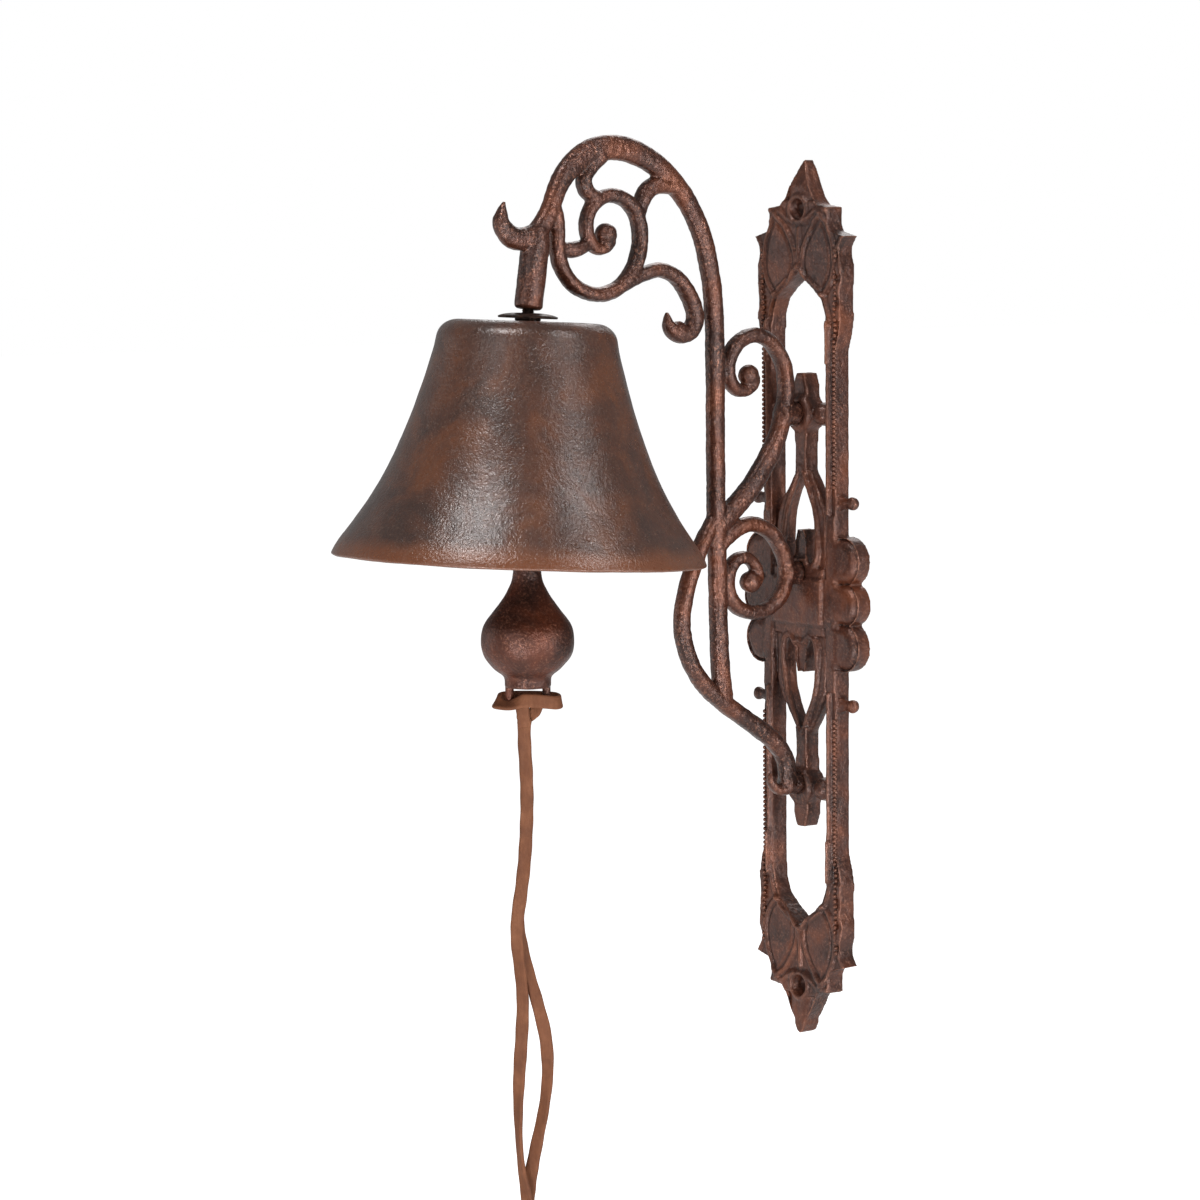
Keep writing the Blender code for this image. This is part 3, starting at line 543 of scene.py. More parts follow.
def leather_look(name):
    """Brown leather: patchy tone, fibres along the hanging lace and a fine grain."""
    look = Look(name)
    tones = ((0.3, (0.115, 0.040, 0.018)), (0.55, (0.175, 0.064, 0.028)), (0.75, (0.23, 0.09, 0.042)))
    colour = look.ramp(look.noise(9, 4, 0.6), *tones)
    fibre = look.noise(1.0, 4, 0.65, vector=look.stretched((1, 1, 0.18)))
    colour = look.mix(look.ramp(fibre, (0.4, 0.0), (0.75, 0.5)), colour, (0.12, 0.042, 0.02))
    grain = look.add("ShaderNodeTexVoronoi")
    grain.inputs["Scale"].default_value = 1 / (0.7 * MM)
    look.link(look.place, grain.inputs["Vector"])
    normal = look.bump(grain.outputs["Distance"], 0.06)
    normal = look.bump(fibre, 0.10, under=normal)
    shine = look.ramp(fibre, (0.3, 0.62), (0.7, 0.8))
    return look.done(colour, shine, normal, Specular_IOR_Level=0.3)


def steel_look(name, dark, light):
    """Small steel parts: uneven tone with specks of rust."""
    look = Look(name)
    tone = look.noise(3.5, 4, 0.6)
    colour = look.ramp(tone, (0.35, dark), (0.7, light))
    rust = look.ramp(look.noise(2.2, 5, 0.7), (0.56, 0.0), (0.7, 0.8))
    colour = look.mix(rust, colour, (0.12, 0.045, 0.02))
    normal = look.bump(look.noise(0.6, 3, 0.6), 0.05)
    shine = look.ramp(tone, (0.3, 0.3), (0.7, 0.5))
    return look.done(colour, shine, normal, Metallic=0.8)


arm_iron = iron_look("arm_iron", flecks=0.36, wear=0.35, metal=0.6, rough=(0.27, 0.42), coat=0.4)
plate_iron = iron_look(
    "plate_iron", flecks=0.22, wear=0.4, metal=0.45, coat=0.2, bumps=(0.32, 0.22, 0.08)
)
bead_iron = iron_look("bead_iron", flecks=0.3, wear=0.2)
bell_iron = iron_look(
    "bell_iron", ((0.042, 0.0165, 0.0100), (0.068, 0.0228, 0.0110), (0.112, 0.0340, 0.0108)),
    (0.30, 0.18, 0.13), metal=0.1, rough=(0.26, 0.36), coat=0.85, bumps=(0.14, 0.24, 0.09), rim=True,
)
ball_iron = iron_look("ball_iron", (DARK, (0.070, 0.022, 0.013), (0.13, 0.034, 0.015)))
black_steel = steel_look("black_steel", (0.035, 0.022, 0.017), (0.085, 0.055, 0.042))
zinc_steel = steel_look("zinc_steel", (0.20, 0.18, 0.16), (0.42, 0.39, 0.36))
lace_leather = leather_look("lace_leather")


def finish_piece(item, material, slot, body, *nodes):
    """Gives a piece its material and its body, and hides the nodes it stands for; slot is not used.
    """
    item.data.materials.clear()
    item.data.materials.append(material)
    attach(item, body)
    if nodes:
        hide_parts(*nodes)
    return item


# Leather thong: two strands of flat lace, the hitch on the clapper's staple and the knot

LACE_WIDTH = 5.4
LACE_THICK = 1.7
STRAND_APART = 1.9
FRONT_SQUEEZE = 0.86

# (along the bar, height) where both strands hang as one, then (along, front, height) of each
TOGETHER = [
    (-1.6, -38.3), (-1.6, -48), (-1.0, -60), (-0.8, -72), (-1.2, -84),
    (-2.0, -96), (-3.4, -108), (-5.0, -120),
]
LEFT = [
    (-5.2, 1.9, -130), (-4.0, 1.5, -142), (-3.2, 1.0, -154), (-3.8, 0.8, -168),
    (-4.8, 0.6, -182), (-5.4, 0.6, -196), (-5.2, 0.8, -210), (-4.2, 1.4, -222),
    (-2.6, 1.9, -232), (-2.0, 1.9, -238.7),
]
RIGHT = [
    (-3.6, -1.9, -130), (-0.6, -1.7, -142), (2.6, -1.5, -154), (5.8, -1.2, -168),
    (6.6, -1.2, -182), (5.2, -1.2, -196), (2.4, -1.5, -210), (0.0, -1.9, -222),
    (-1.4, -1.9, -232), (-2.0, -1.9, -238.7),
]
# How far each point of a strand is twisted, in degrees
LEFT_TURNS = [0, 4, 8, 4, -4, -8, -4, 6, 22, 30, 24, 14, 22, 48, 66, 62, 38, 12]
RIGHT_TURNS = [0, -3, -6, -4, 4, 8, 4, -8, -26, -38, -24, 4, 30, 40, 30, 12, 0, 0]


def lace_ring(centre, wide, thick, width, depth=LACE_THICK):
    """A flat section with rounded edges: wide and thick are unit directions."""
    half, edge = width / 2 - depth / 2, depth / 2
    steps = 5
    ring = []
    for sign in (1, -1):
        for k in range(steps + 1):
            t = math.pi * k / steps - math.pi / 2
            across = sign * (half + edge * math.cos(t))
            rise = sign * edge * math.sin(t)
            ring.append(centre + (wide * across + thick * rise) * MM)
        for share in (0.5, 0.0, -0.5):
            across = wide * sign * share * half * 1.2
            ring.append(centre + (across + thick * sign * edge * 0.93) * MM)
    return ring


def lace(shell, places, turns, width=LACE_WIDTH):
    """A lace along places in metres; a turn of 0 degrees shows its flat side to the front."""
    rings = []
    for i, here in enumerate(places):
        ahead = (places[min(i + 1, len(places) - 1)] - places[max(i - 1, 0)]).normalized()
        turn = math.radians(turns[i])
        wide = BAR * math.cos(turn) + FRONT * math.sin(turn)
        wide = (wide - ahead * wide.dot(ahead)).normalized()
        wavy = width * (1 + 0.03 * math.sin(i * 0.9))
        rings.append(lace_ring(here, wide, ahead.cross(wide), wavy))
    shell.rings(rings)


def lace_loop(shell, places, wides, width, depth):
    """A closed lace along places, its flat direction given at each."""
    rings = []
    for i, (here, wide) in enumerate(zip(places, wides)):
        ahead = (places[(i + 1) % len(places)] - places[i - 1]).normalized()
        rings.append(lace_ring(here, wide, ahead.cross(wide).normalized(), width, depth))
    shell.rings(rings, closed=True)


def make_strand(name, route, turns):
    line = smooth_points([(*p, t) for p, t in zip(route, turns)], 8)
    places = [by_thong(a, f * FRONT_SQUEEZE, h) for a, f, h, _ in line]
    shell = Shell()
    lace(shell, places, line[:, 3])
    item = smooth_object(shell, name)
    finish_piece(item, lace_leather, "brown_leather", "thong", name.replace("lace", "thong_strand"))


def make_band():
    """The lace folded round the staple, with both strands drawn through it."""
    # (along, front, height, tilt from upright towards the front in degrees)
    band = [
        (-2.0, 4.6, -30.6, 18), (3.0, 4.9, -30.7, 6), (8.0, 4.4, -31.2, 4), (11.2, 3.2, -31.6, 8),
        (12.9, 0.6, -31.4, 10), (11.6, -2.4, -30.9, 6), (7.0, -4.2, -30.6, 0), (0.0, -4.8, -30.4, 0),
        (-7.0, -4.4, -30.4, 4), (-11.4, -2.9, -30.6, 14), (-12.6, -0.2, -31.4, 34),
        (-11.4, 2.4, -32.2, 58), (-8.0, 4.0, -32.5, 60), (-4.6, 4.5, -31.6, 38),
    ]
    line = smooth_points(band + [band[0]], 6)[:-1]
    places = [by_thong(a, f, h) for a, f, h, _ in line]
    upright = Vector((0, 0, 1))
    wides = []
    for i, here in enumerate(places):
        ahead = (places[(i + 1) % len(places)] - places[i - 1]).normalized()
        outer = ahead.cross(upright).normalized()
        if outer.dot(here - by_thong(0, 0, here.z / MM)) < 0:
            outer = -outer
        tilt = math.radians(line[i][3])
        wides.append((upright * math.cos(tilt) - outer * math.sin(tilt)).normalized())
    shell = Shell()
    lace_loop(shell, places, wides, 5.6, 1.6)
    wrap = smooth_object(shell, "lace_band")
    finish_piece(wrap, lace_leather, "brown_leather", "clapper")


def short_lace(shell, points, start_turn, end_turn, width):
    line = smooth_points(points, 6)
    turns = np.linspace(start_turn, end_turn, len(line))
    lace(shell, [by_thong(*p) for p in line], turns, width)


def make_hitch():
    """The tops of both strands, from the bar down into the hanging laces."""
    shell = Shell()
    over_the_bar = [
        (-1.2, -2.7, -32.5), (-1.4, -2.0, -30.2), (-1.6, 0.0, -29.3), (-1.9, 2.0, -30.2),
        (-2.1, 2.8, -32.2), (-2.2, 2.9, -34.6), (-2.0, 2.6, -37.0), (-1.8, 2.1, -39.0),
        (-1.6, 1.7, -41.5),
    ]
    short_lace(shell, over_the_bar, 0, 0, 5.3)
    under_the_band = [
        (4.2, 1.6, -31.0), (3.4, 1.5, -34.2), (1.6, 0.8, -36.4), (-0.5, -0.6, -38.2),
        (-1.6, -1.7, -41.5),
    ]
    short_lace(shell, under_the_band, 34, 4, 5.0)
    item = smooth_object(shell, "lace_hitch")
    return finish_piece(item, lace_leather, "brown_leather", "thong", "thong_hitch")


def make_knot():
    """An overhand knot in both strands, and the two cut tails."""
    shell = Shell()
    along = -2.0
    centre = by_thong(along, 0, -243.0)
    steps = 30
    for phase, height, size in ((0.0, 1.8, 4.6), (2.4, -1.2, 4.9)):
        loop, wides = [], []
        for k in range(steps):
            t = math.tau * k / steps
            spot = BAR * math.cos(t) * size * 0.72 + FRONT * math.sin(t) * size * 0.5
            outer = spot.normalized()
            spot = spot + Vector((0, 0, height + 1.3 * math.sin(t + phase)))
            loop.append(centre + spot * MM)
            lean = outer * 0.34 * math.sin(k * 0.42 + phase)
            wides.append((Vector((0, 0, 1)) * 0.94 - lean).normalized())
        lace_loop(shell, loop, wides, 4.4, 1.9)
    for side, drift, turn in ((1, -1.4, 10), (-1, 1.6, -24)):
        tail = [
            (along, 1.1 * side, -237.0), (along, 1.0 * side, -243.0),
            (along + drift * 0.4, 1.2 * side, -249.0), (along + drift, 1.4 * side, -255.0),
            (along + drift * 1.3, 1.2 * side, -261.5),
        ]
        short_lace(shell, tail, 0, turn, 5.2)
    item = smooth_object(shell, "lace_knot")
    return finish_piece(item, lace_leather, "brown_leather", "thong", "thong_knot")


make_band()
hitch = make_hitch()
knot = make_knot()
front = [(a, STRAND_APART, h) for a, h in TOGETHER] + LEFT
back = [(a, -STRAND_APART, h) for a, h in TOGETHER] + RIGHT
make_strand("lace_left", front, LEFT_TURNS)
make_strand("lace_right", back, RIGHT_TURNS)


# Arm

# Each bar of the casting as (out, height, width) along its middle line
MEMBERS = {
    "spine": [
        (49.5, -38, 9.0), (51.2, -20, 7.6), (52.4, 20, 7.6), (52.9, 60, 7.6),
        (53.1, 100, 7.6), (53.6, 122, 7.6), (55.8, 140, 7.6), (61.2, 157, 7.8),
        (70.2, 170.8, 8.4), (82.0, 181.4, 9.0), (94.0, 187.3, 9.7),
        (106.0, 189.4, 10.0), (118.0, 187.2, 9.8), (128.0, 180.6, 8.8),
        (134.0, 172.0, 7.6), (137.8, 163.5, 7.2), (143.0, 156.5, 8.0),
        (149.5, 153.3, 9.2), (156.5, 154.2, 8.8), (161.0, 159.0, 6.6),
        (160.6, 164.5, 3.6), (159.4, 168.0, 1.0),
    ],
    "ring": [
        (136.5, 170.0, 5.0), (133.8, 160.0, 5.6), (133.8, 149.0, 5.8),
        (130.5, 139.5, 5.8), (123.0, 132.9, 5.8), (112.5, 130.6, 6.0),
        (102.0, 133.8, 6.0), (94.7, 142.0, 6.0), (91.8, 152.4, 6.0),
        (93.6, 162.2, 6.0), (99.6, 168.4, 6.0), (107.4, 170.2, 5.8),
        (114.8, 167.4, 5.6), (118.8, 161.4, 5.4), (118.8, 154.6, 5.2),
        (115.6, 149.8, 5.0), (110.8, 148.9, 4.8), (107.3, 152.0, 4.6),
        (108.6, 156.2, 3.4),
    ],
    "ring_bridge": [(134.0, 149.5, 4.5), (126.0, 148.6, 6.4), (117.5, 151.0, 4.5)],
    "crook": [
        (111.0, 186.0, 5.5), (117.0, 181.0, 5.6), (120.3, 176.2, 5.8),
        (118.0, 171.2, 5.8), (110.5, 168.5, 5.0),
    ],
    "leaf": [
        (70.0, 172.0, 5.0), (79.0, 174.4, 7.0), (86.5, 173.2, 7.0),
        (90.8, 168.0, 6.0), (91.0, 160.5, 2.2),
    ],
    "lower_scroll": [
        (106.0, 131.5, 5.0), (97.5, 135.6, 5.6), (89.3, 138.7, 5.8),
        (80.6, 139.8, 6.0), (71.8, 135.6, 6.2), (65.6, 127.5, 6.6),
        (63.4, 120.0, 7.0), (66.4, 114.6, 7.4), (72.4, 113.8, 7.2),
        (77.2, 117.0, 5.2), (78.2, 123.0, 1.2),
    ],
    "upper_s": [
        (53.0, 33.0, 8.8), (44.5, 40.0, 9.0), (34.6, 48.9, 8.8),
        (26.6, 58.6, 8.6), (20.2, 69.0, 8.0), (16.4, 80.0, 7.0),
        (15.0, 91.0, 6.4), (17.2, 101.5, 6.3), (24.0, 109.6, 6.2),
        (32.6, 112.4, 6.2), (41.0, 109.4, 6.0), (46.0, 102.4, 6.0),
        (46.0, 95.0, 5.6), (41.8, 90.2, 5.4), (36.2, 89.8, 5.2),
        (32.8, 93.6, 5.2), (34.6, 98.0, 4.4),
    ],
    "lower_c": [
        (53.0, 24.5, 6.0), (44.0, 31.0, 6.2), (33.5, 33.8, 6.4),
        (22.5, 28.6, 6.4), (15.4, 16.5, 6.4), (17.2, 4.8, 6.4),
        (24.4, -1.6, 6.4), (32.6, -3.2, 6.2), (41.0, -1.0, 6.2),
        (46.6, 5.0, 6.2), (47.0, 12.6, 5.8), (43.4, 18.6, 5.4),
        (37.4, 20.0, 5.2), (32.4, 16.4, 5.0), (31.2, 11.0, 5.0),
        (34.4, 7.4, 4.4),
    ],
    "bow": [
        (53.5, 38.0, 5.0), (60.5, 27.0, 6.0), (67.2, 13.0, 6.4),
        (70.8, 0.0, 6.6), (70.6, -11.0, 6.6), (66.2, -23.0, 6.6),
        (58.0, -33.4, 7.0), (46.5, -42.0, 7.4), (34.0, -50.0, 7.6),
        (22.4, -58.4, 7.6), (15.8, -67.0, 7.4), (14.4, -78.0, 7.0),
    ],
    "foot_lip": [
        (14.2, -77.0, 6.0), (16.5, -79.4, 5.0), (20.4, -79.0, 4.2),
        (23.6, -75.6, 3.2), (24.0, -71.8, 1.4),
    ],
}


ARM_DEPTH = 7.7
KNOBS = (
    (109.2, 154.6, 4.6), (35.2, 95.8, 4.5), (34.8, 9.6, 4.6), (72.4, 114.9, 4.2), (13.8, -76.8, 4.6),
)
STUB = ((0, 33), (4.4, 32.5), (5.7, 28), (5.7, 1.0), (4.9, 0), (0, 0))
WEB = ((0, 5.0), (2.6, 3.4), (3.2, 0), (2.6, -4.6), (0, -6.5))

# Height, where it starts and where it ends, out from the wall, of each pad against the plate
PADS = ((BOSS_HEIGHT, 9.7, 19), (12, 8.8, 16.5), (-77, 9.7, 17))


def make_arm():
    shell = Shell()
    sides = 18
    for points in MEMBERS.values():
        curve = smooth_points(points, 7)
        rings = []
        for i, (out, up, width) in enumerate(curve):
            ahead = curve[min(i + 1, len(curve) - 1)] - curve[max(i - 1, 0)]
            normal = np.array((-ahead[1], ahead[0])) / math.hypot(ahead[0], ahead[1])
            depth = min(ARM_DEPTH, 1.3 * width)
            ring = []
            for k in range(sides):
                t = math.tau * k / sides
                c, s = math.cos(t), math.sin(t)
                c = math.copysign(abs(c) ** 0.86, c)
                s = math.copysign(abs(s) ** 0.86, s)
                wide = 0.515 * width * c
                ring.append(at(0.5 * depth * s, out + normal[0] * wide, up + normal[1] * wide))
            rings.append(ring)
        shell.rings(rings)
    for out, up, radius in KNOBS:
        turns = np.linspace(0, math.pi, 13)[1:-1]
        round_part = [(radius * math.sin(a), radius * math.cos(a)) for a in turns]
        profile = [(0, radius)] + round_part + [(0, -radius)]
        shell.lathe(profile, Matrix.Translation(at(0, out, up)), 20)
    stub = Matrix.Translation(at(0, *STUB_FOOT)) @ Matrix.Rotation(-STUB_TILT, 4, "X")
    shell.lathe(STUB, stub, 32)
    shell.lathe(WEB, Matrix.Translation(at(0, 141.2, 150.5)), 20)
    for height, start, end in PADS:
        length = end - start
        pad = [(0, 0), (4.2, 0), (5.1, -1), (4.6, -length * 0.5)]
        pad += [(5.2, -length + 0.8), (4.9, -length), (0, -length)]
        shell.lathe(pad, outward(0, height, end), 28)
    arm = shell.object("cast_arm", angle=0)
    fused(arm, 0.55, 5)
    uneven(arm, (7.0, 0.22), (2.2, 0.16), (1.3, 0.07))
    finish_piece(arm, arm_iron, "brown_iron", "bracket", "arm")


make_arm()


# Wall plate


def segment_distance(p, points):
    """Distance from each 2-D point in p to a polyline."""
    best = np.full(len(p), 1e9)
    for a, b in zip(points, points[1:]):
        a, b = np.array(a, float), np.array(b, float)
        ab = b - a
        t = np.clip(((p - a) @ ab) / (ab @ ab), 0, 1)
        best = np.minimum(best, np.hypot(*(p - a - t[:, None] * ab).T))
    return best


def bump_at(distance, radius):
    """1 on the line, falling smoothly to 0 at the radius."""
    share = np.clip(1 - (distance / radius) ** 2, 0, 1)
    return np.sqrt(share)


def step_at(distance, width=0.7):
    """0 outside, 1 inside, for a signed distance that is positive inside."""
    t = np.clip(distance / width + 0.5, 0, 1)
    return t * t * (3 - 2 * t)


# (distance from the middle, height) on the plate's front: a leaf, the window's edge, a branch
LEAF = smooth_points(
    [(14.6, 161), (9.0, 155.5), (4.6, 148.5), (3.2, 141.5), (6.0, 134.8), (13.4, 129.6),
     (18.6, 133.5), (21.4, 140.5), (20.8, 148.5), (18.2, 155.5), (14.6, 161)], 5)
ARCH = smooth_points(
    [(0, 140.4), (4.6, 136.6), (9.8, 133.0), (15.2, 128.8), (18.6, 121.5), (19.9, 112),
     (20.0, 96)], 4)
BRANCH = smooth_points(
    [(0.6, 57), (3.2, 50.5), (6.6, 44), (9.2, 38), (10.6, 30), (11.2, 22), (10.2, 17.0),
     (7.6, 14.4), (4.8, 15.4), (2.6, 18.4), (0, 16.0)], 4)
STEM = [(0, 139), (0, 156)]
SHOULDER = [(3.6, 158.5), (11, 163.6), (18, 164)]
SPUR = [(24.6, 148), (27.4, 152.4)]
EDGE_WAVES = (120.5, 131, 140.5)

# (distance from the middle, height, radius); the middle lobe lies over the outer ones
OUTER_LOBE = (26.4, 18, 10.2)
MIDDLE_LOBE = (28.2, 0, 8.8)


def inside(p, outline):
    """Which 2-D points lie inside a closed outline."""
    hits = np.zeros(len(p), bool)
    x, y = p.T
    for (x0, y0), (x1, y1) in zip(outline, np.roll(outline, -1, axis=0)):
        cross = (y0 > y) != (y1 > y)
        with np.errstate(divide="ignore", invalid="ignore"):
            hits ^= cross & (x < (x1 - x0) * (y - y0) / (y1 - y0) + x0)
    return hits


def relief(x, z):
    """How far the plate's front stands above or below its plain face, in millimetres."""
    p = np.stack([np.abs(x), np.abs(z)], 1)
    x, z = p.T

    def ridge(line, radius):
        return bump_at(segment_distance(p, line), radius)

    # finials: leaf panels in a sunk ground, with raised outlines and a Y-shaped stem
    end = (z > 112) & (z < 167)
    ground = step_at(z - 118, 4) * step_at(159 - z, 3)
    to_leaf = segment_distance(p, LEAF)
    leaf = inside(p, LEAF)
    signed = np.where(leaf, to_leaf, -to_leaf)
    panel = -0.9 * ground + 1.2 * bump_at(np.abs(signed + 1.1), 1.4)
    panel += np.where(leaf, 0.9 * step_at(signed - 1.2, 1.4), 0)
    panel += 1.3 * ridge(STEM, 1.3) + 0.9 * ridge(SHOULDER, 1.3)
    made = np.where(end, panel, 0)
    made += np.where(z > 100, 1.1 * ridge(ARCH, 1.2), 0)
    made += 0.9 * bump_at(np.abs(np.hypot(x, z - HOLE_HEIGHT) - 5.4), 1.2)
    made -= np.where(z > 168, 2.0 * np.clip((x - 2.0) / 6.0, 0, 1) ** 2, 0)
    for height in EDGE_WAVES:
        made += 0.9 * bump_at(np.hypot(x - 25.4, (z - height) * 0.62), 2.6)
    made += 0.8 * ridge(SPUR, 1.6)
    # rails: a ridge, a groove and a lowered outer strip for the beads
    rail = (z > 37) & (z < 118)
    made += np.where(rail, 1.2 * bump_at(np.abs(x - 19.6), 1.2), 0)
    made -= np.where(rail, 0.8 * bump_at(np.abs(x - 21.3), 0.8), 0)
    made -= np.where(rail & (x > 21.9), 0.7, 0)
    # middle: a raised block, lobes like cushions, and grooves round the blades
    made += 1.5 * step_at(9.6 - z, 1.6) * step_at(15.6 - x, 1.6)
    clear = np.hypot(x - MIDDLE_LOBE[0], z) >= MIDDLE_LOBE[2]
    for (middle, height, radius), shown in ((OUTER_LOBE, clear), (MIDDLE_LOBE, True)):
        distance = np.hypot(x - middle, z - height)
        fall = 3.4 * np.clip((distance / radius - 0.5) / 0.5, 0, 1) ** 2
        made -= np.where((distance < radius) & shown, fall, 0) * step_at(x - middle + 3, 5)
    made -= np.where((z > 18) & (z < 33) & (x < 4.2), 1.6, 0)
    made -= np.where((z > 10.5) & (z < 36) & (x > 15.4) & (x < 17.4), 0.9, 0)
    return made


def make_plate():
    """The CAD plate with branches and pegs added, melted together, then carved."""
    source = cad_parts["wall_plate"].data
    shell = Shell()
    shell.verts = [tuple(v.co) for v in source.vertices]
    shell.faces = [tuple(face.vertices) for face in source.polygons]
    radii = np.interp(BRANCH[:, 1], (14, 57), (1.7, 0.9))
    peg = [(0, 33.4)] + arc((0, 30.6), 2.9, 80, -35, 8)
    peg += [(2.25, 28.2), (2.4, 26), (3.4, 23), (3.4, 20), (0, 20)]
    for sx in (-1, 1):
        for sz in (-1, 1):
            line = [at(sx * x, PLATE_OUT + (z < 26) * 0.5, sz * z) for x, z in BRANCH]
            shell.tube(line, radii, Vector((0, 1, 0)), 12)
            turn = Matrix.Rotation(sx * math.pi / 2, 4, "Y")
            shell.lathe(peg, Matrix.Translation(at(0, 4.7, sz * 42.3)) @ turn, 24)
    plate = shell.object("cast_plate", angle=0)
    fused(plate, 0.6, 4)
    mesh = plate.data
    co, no = coords(mesh), normals(mesh)
    x, z = co[:, 0] / MM, co[:, 2] / MM
    front = np.clip((-no[:, 1] - 0.35) / 0.4, 0, 1) * (-co[:, 1] > 4.5 * MM)
    on_boss = np.hypot(x, np.abs(z) - BOSS_HEIGHT) <= 9
    co[:, 1] -= relief(x, z) * front * ~on_boss * MM
    notch = (np.abs(x) < 4) & (np.abs(z) > 27) & (np.abs(z) < 33)
    co[:, 2] += np.sign(z) * np.where(notch, (np.abs(x) / 3 * 1.8 - 1.0) * MM, 0)
    put(mesh, co)
    eased(plate, 0.35, 2)
    # the back stays flat
    flat = coords(plate.data)
    back = flat[:, 1] >= -0.6 * MM
    uneven(plate, (6.0, 0.2), (2.0, 0.12))
    moved = coords(plate.data)
    moved[back, 1] = np.maximum(flat[back, 1], moved[back, 1])
    moved[:, 1] = np.minimum(moved[:, 1], 0)
    put(plate.data, moved)
    plate.data.shade_smooth()
    finish_piece(plate, plate_iron, "brown_iron", "bracket", "wall_plate")


def make_beads():
    """Rows of cast beads along the rails' outer edges and up the finials."""
    shell = Shell()
    out = 8.3
    row = [(22.7, 49 + 1.95 * k, 0.92) for k in range(32)]
    row += [(23.3 + 0.35 * math.sin(k * 0.9), 112 + 2.2 * k, 1.0) for k in range(17)]
    for sx in (-1, 1):
        for sz in (-1, 1):
            for x, z, r in row:
                turns = np.linspace(0.2, math.pi / 2, 4)[:-1]
                dome = [(r * math.cos(a), r * math.sin(a)) for a in turns]
                profile = [(0, -0.8), (r, -0.8)] + dome + [(0, r)]
                shell.lathe(profile, outward(sx * x, sz * z, out - 0.15), 10)
    item = smooth_object(shell, "cast_beads")
    finish_piece(item, bead_iron, "brown_iron", "bracket")


make_plate()
make_beads()


# Bell


# (radius, distance down from the crown)
FLANK = ((36.1, 7.6), (52.6, 73.5), (70.8, 82.5), (75.0, 94.2))
BELL_BORE = 3.3


def make_bell():
    crown = [(BELL_BORE, 0.0), (10, 0.0), (20, 0.0)]
    shoulder = arc((27.8, -8.5), 8.5, 90, 15, 14)
    outer = crown + shoulder + [(r, -down) for r, down in bezier(FLANK, 64)[1:]]
    inner = []
    for (r0, z0), (r1, z1) in zip(outer[1:], outer[2:]):
        wall = BELL_WALL / math.hypot(r1 - r0, z1 - z0)
        inner.append(((r0 + r1) / 2 + (z1 - z0) * wall, (z0 + z1) / 2 - (r1 - r0) * wall))
    rim = [(74.9, -94.7), (74.3, -95.0), (73.4, -95.0), (72.5, -94.7)]
    shell = Shell()
    profile = outer + rim + inner[::-1] + [(BELL_BORE, -BELL_WALL)]
    shell.lathe(profile, on_bell_axis(CROWN_DROP), 176, closed=True)
    bell = smooth_object(shell, "cast_bell")
    uneven(bell, (22.0, 0.30), (6.0, 0.10), (2.4, 0.05))
    finish_piece(bell, bell_iron, "brown_iron", "bell", "bell")


make_bell()


# Clapper, link, eye bolt, washers and nuts


ONION = smooth_points(
    [(5.2, 26), (5.6, 21), (6.5, 16.5), (9.3, 11), (13.5, 5.2), (17.7, -0.8), (18.8, -6.8),
     (17.7, -12.6), (14.0, -17.6), (10.6, -20.4), (9.5, -22.0), (9.3, -24.9)], 6)
BALL_BORE = 2.9
BALL_BORE_FOOT = -8.3
STAPLE_HALF = 7.4
STAPLE_BEND = 2.6
STAPLE_RADIUS = 1.7


def make_ball():
    shell = Shell()
    profile = [(0, BALL_BORE_FOOT), (BALL_BORE, BALL_BORE_FOOT), (BALL_BORE, 28.6)]
    profile += [(3.6, 29.0), (4.6, 28.9), (5.0, 28.2)] + [tuple(p) for p in ONION]
    profile += [(8.9, -25.6), (8.0, -25.7), (0, -25.7)]
    shell.lathe(profile, Matrix.Translation(at(0, CLAPPER_OUT, 0)), 72)
    ball = shell.object("cast_ball", angle=45)
    ball.data.shade_smooth()
    uneven(ball, (9.0, 0.25), (2.5, 0.08))
    finish_piece(ball, ball_iron, "brown_iron", "clapper", "clapper_ball")


def make_staple():
    """The iron loop under the ball that the lace hangs from."""
    line = [(-STAPLE_HALF, -22.5), (-STAPLE_HALF, -26.5)]
    corner = STAPLE_HALF - STAPLE_BEND
    line += arc((-corner, -29.4), STAPLE_BEND, 180, 270, 8)
    line += arc((corner, -29.4), STAPLE_BEND, 270, 360, 8)
    line += [(STAPLE_HALF, -26.5), (STAPLE_HALF, -22.5)]
    shell = Shell()
    shell.tube([by_thong(along, 0, height) for along, height in line], STAPLE_RADIUS, FRONT, 14)
    staple = shell.object("cast_staple", angle=60)
    uneven(staple, (3.0, 0.12))
    finish_piece(staple, ball_iron, "brown_iron", "clapper")


def circle(place, radius, height, sides):
    """Points of a level circle in a matrix's frame; radius is a number or one for each point."""
    radii = radius if hasattr(radius, "__len__") else [radius] * sides
    turns = (math.tau * k / sides for k in range(sides))
    return [
        place @ (Vector((r * math.cos(t), r * math.sin(t), height)) * MM)
        for t, r in zip(turns, radii)
    ]


def threaded(shell, place, top, foot, radius=2.5, pitch=0.8, sides=28):
    """A rod with a rolled thread between two distances down the axis of a matrix."""
    rows = []
    steps = int((foot - top) / pitch * 6)
    for i in range(steps + 1):
        down = top + (foot - top) * i / steps
        phases = ((down / pitch + k / sides) % 1.0 for k in range(sides))
        radii = [radius - 0.36 * abs(2 * phase - 1) for phase in phases]
        rows.append(circle(place, radii, -down, sides))
    shell.rings(rows)


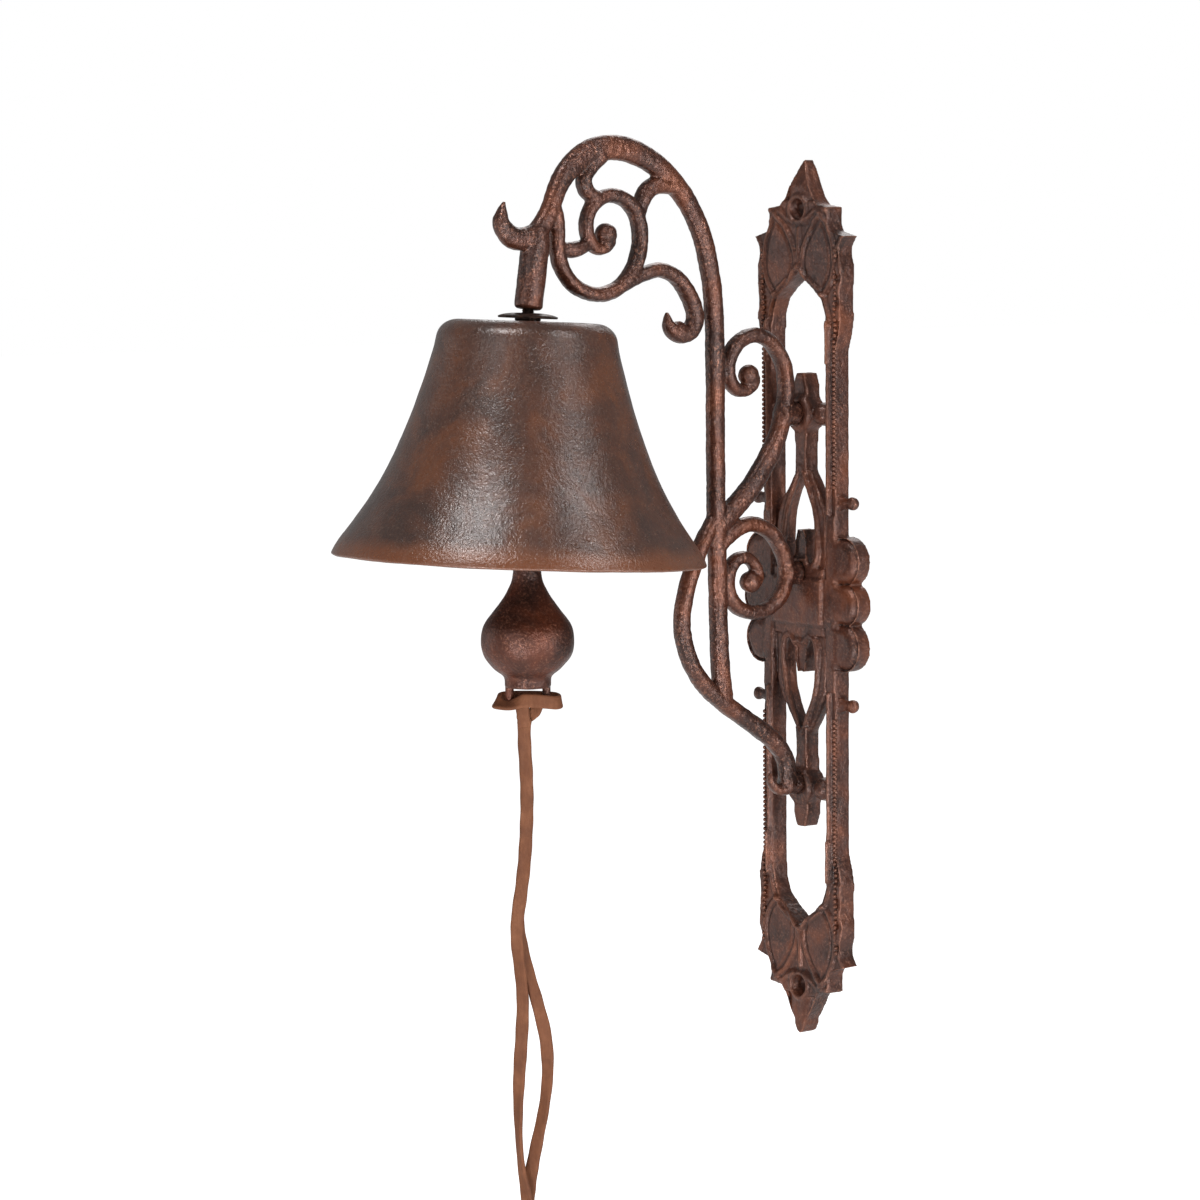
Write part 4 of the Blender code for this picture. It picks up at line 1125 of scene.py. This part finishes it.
def nut(shell, place, across, length, bore, sides=48):
    """A six-sided nut with chamfered corners, its top at the matrix's origin."""
    half = across / 2
    turns = [math.tau * k / sides for k in range(sides)]
    from_flat = [(t + math.pi / 6) % (math.pi / 3) - math.pi / 6 for t in turns]
    rows = []
    for height, keep in ((0, 0.93), (-0.45, 1.0), (-length + 0.45, 1.0), (-length, 0.93)):
        radii = [min(half / math.cos(a), half * 1.155 * keep) for a in from_flat]
        rows.append(circle(place, radii, height, sides))
    rows += [circle(place, bore, height, sides) for height in (-length, 0)]
    shell.rings(rows, closed=True)


SIDE, OUT, UP = Vector((1, 0, 0)), Vector((0, 1, 0)), Vector((0, 0, 1))
WASHER_BORE = 2.8
CROWN_WASHER = (
    (WASHER_BORE, 2.0), (6, 1.9), (8.5, 1.6), (10.4, 1.2), (11.7, 0.75), (12.0, 0.5),
    (11.9, 0.0), (11.6, -0.15), (10, 0.5), (6, 1.1), (WASHER_BORE, 1.2),
)
CROWN_COLLAR = (
    (WASHER_BORE, 1.9), (4.8, 1.9), (5.15, 1.6), (5.2, 0.3), (5.0, 0), (WASHER_BORE, 0),
)
INNER_WASHER = (
    (WASHER_BORE, 0), (8.7, 0), (9, -0.3), (9, -0.9), (8.7, -1.2), (WASHER_BORE, -1.2),
)
UNDER_CROWN = CROWN_DROP + BELL_WALL + GAP
NUT_ACROSS = 8.0
NUT_BORE = 2.55


def make_bolt():
    """The threaded rod through the crown and the eye at its end."""
    axis = on_bell_axis(0)
    bolt = Shell()
    threaded(bolt, axis, -16.8, 21.6)
    bolt.lathe([(0, -21.2), (2.45, -21.2), (2.45, -24.3), (0, -24.3)], axis, 28)
    eye = ring_points(down_axis(EYE_DROP), OUT, UP, EYE_RADIUS, 48)
    bolt.tube(eye, EYE_BAR, SIDE, 16, closed=True)
    finish_piece(bolt.object("eye_bolt_steel"), black_steel, "dark_steel", "bracket", "eye_bolt")


def make_washers():
    for node, profile, drop, segments, material in (
        ("crown_washer", CROWN_WASHER, CROWN_DROP - GAP - 1.2, 72, black_steel),
        ("crown_collar", CROWN_COLLAR, CROWN_DROP - GAP, 40, black_steel),
        ("inner_washer", INNER_WASHER, UNDER_CROWN, 48, zinc_steel),
    ):
        washer = Shell()
        washer.lathe(profile, on_bell_axis(drop), segments, closed=True)
        finish_piece(washer.object(node + "_steel"), material, "dark_steel", "bracket", node)


def make_nuts():
    under_washer = UNDER_CROWN + 1.5
    for node, drop, length in (
        ("inner_nut", under_washer, 4.0), ("lock_nut", under_washer + 4.3, 3.2),
    ):
        item = Shell()
        nut(item, on_bell_axis(drop), NUT_ACROSS, length, NUT_BORE)
        finish_piece(item.object(node + "_steel"), zinc_steel, "dark_steel", "bracket", node)


def make_link(top):
    """A long chain link hanging from the eye; top is the middle of its upper end."""
    middle = top - UP * LINK_LENGTH / 2 * MM
    half = []
    for k in range(17):
        t = math.pi * k / 16
        half.append((UP * 1.4 + (SIDE * math.cos(t) + UP * math.sin(t)) * 4.6) * MM)
    link = Shell()
    line = [middle + p for p in half] + [middle - p for p in half]
    link.tube(line, LINK_BAR, OUT, 14, closed=True)
    finish_piece(link.object("link_steel"), black_steel, "dark_steel", "link", "clapper_link")


def make_rod(eye_height):
    rod = Shell()
    shank = [(0, eye_height - 4.4), (2.2, eye_height - 4.7), (2.6, eye_height - 5.6)]
    shank += [(2.6, -7.6), (2.2, -8), (0, -8)]
    rod.lathe(shank, Matrix.Translation(at(0, CLAPPER_OUT, 0)), 32)
    eye = ring_points(at(0, CLAPPER_OUT, eye_height), OUT, UP, ROD_EYE_RADIUS, 44)
    rod.tube(eye, ROD_BAR, SIDE, 14, closed=True)
    finish_piece(rod.object("clapper_rod_steel"), black_steel, "dark_steel", "clapper", "clapper_rod")


make_staple()
make_ball()
make_bolt()
make_washers()
make_nuts()
link_top = down_axis(EYE_DROP + EYE_RADIUS - EYE_BAR - LINK_BAR - 0.1)
make_link(link_top)
make_rod(link_top.z / MM - LINK_LENGTH + LINK_BAR + ROD_BAR + 0.1 - ROD_EYE_RADIUS)
for name in ("arm_screw_upper", "arm_screw_lower", "arm_washer_upper", "arm_washer_lower"):
    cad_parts[name].data.materials.clear()
    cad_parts[name].data.materials.append(zinc_steel)
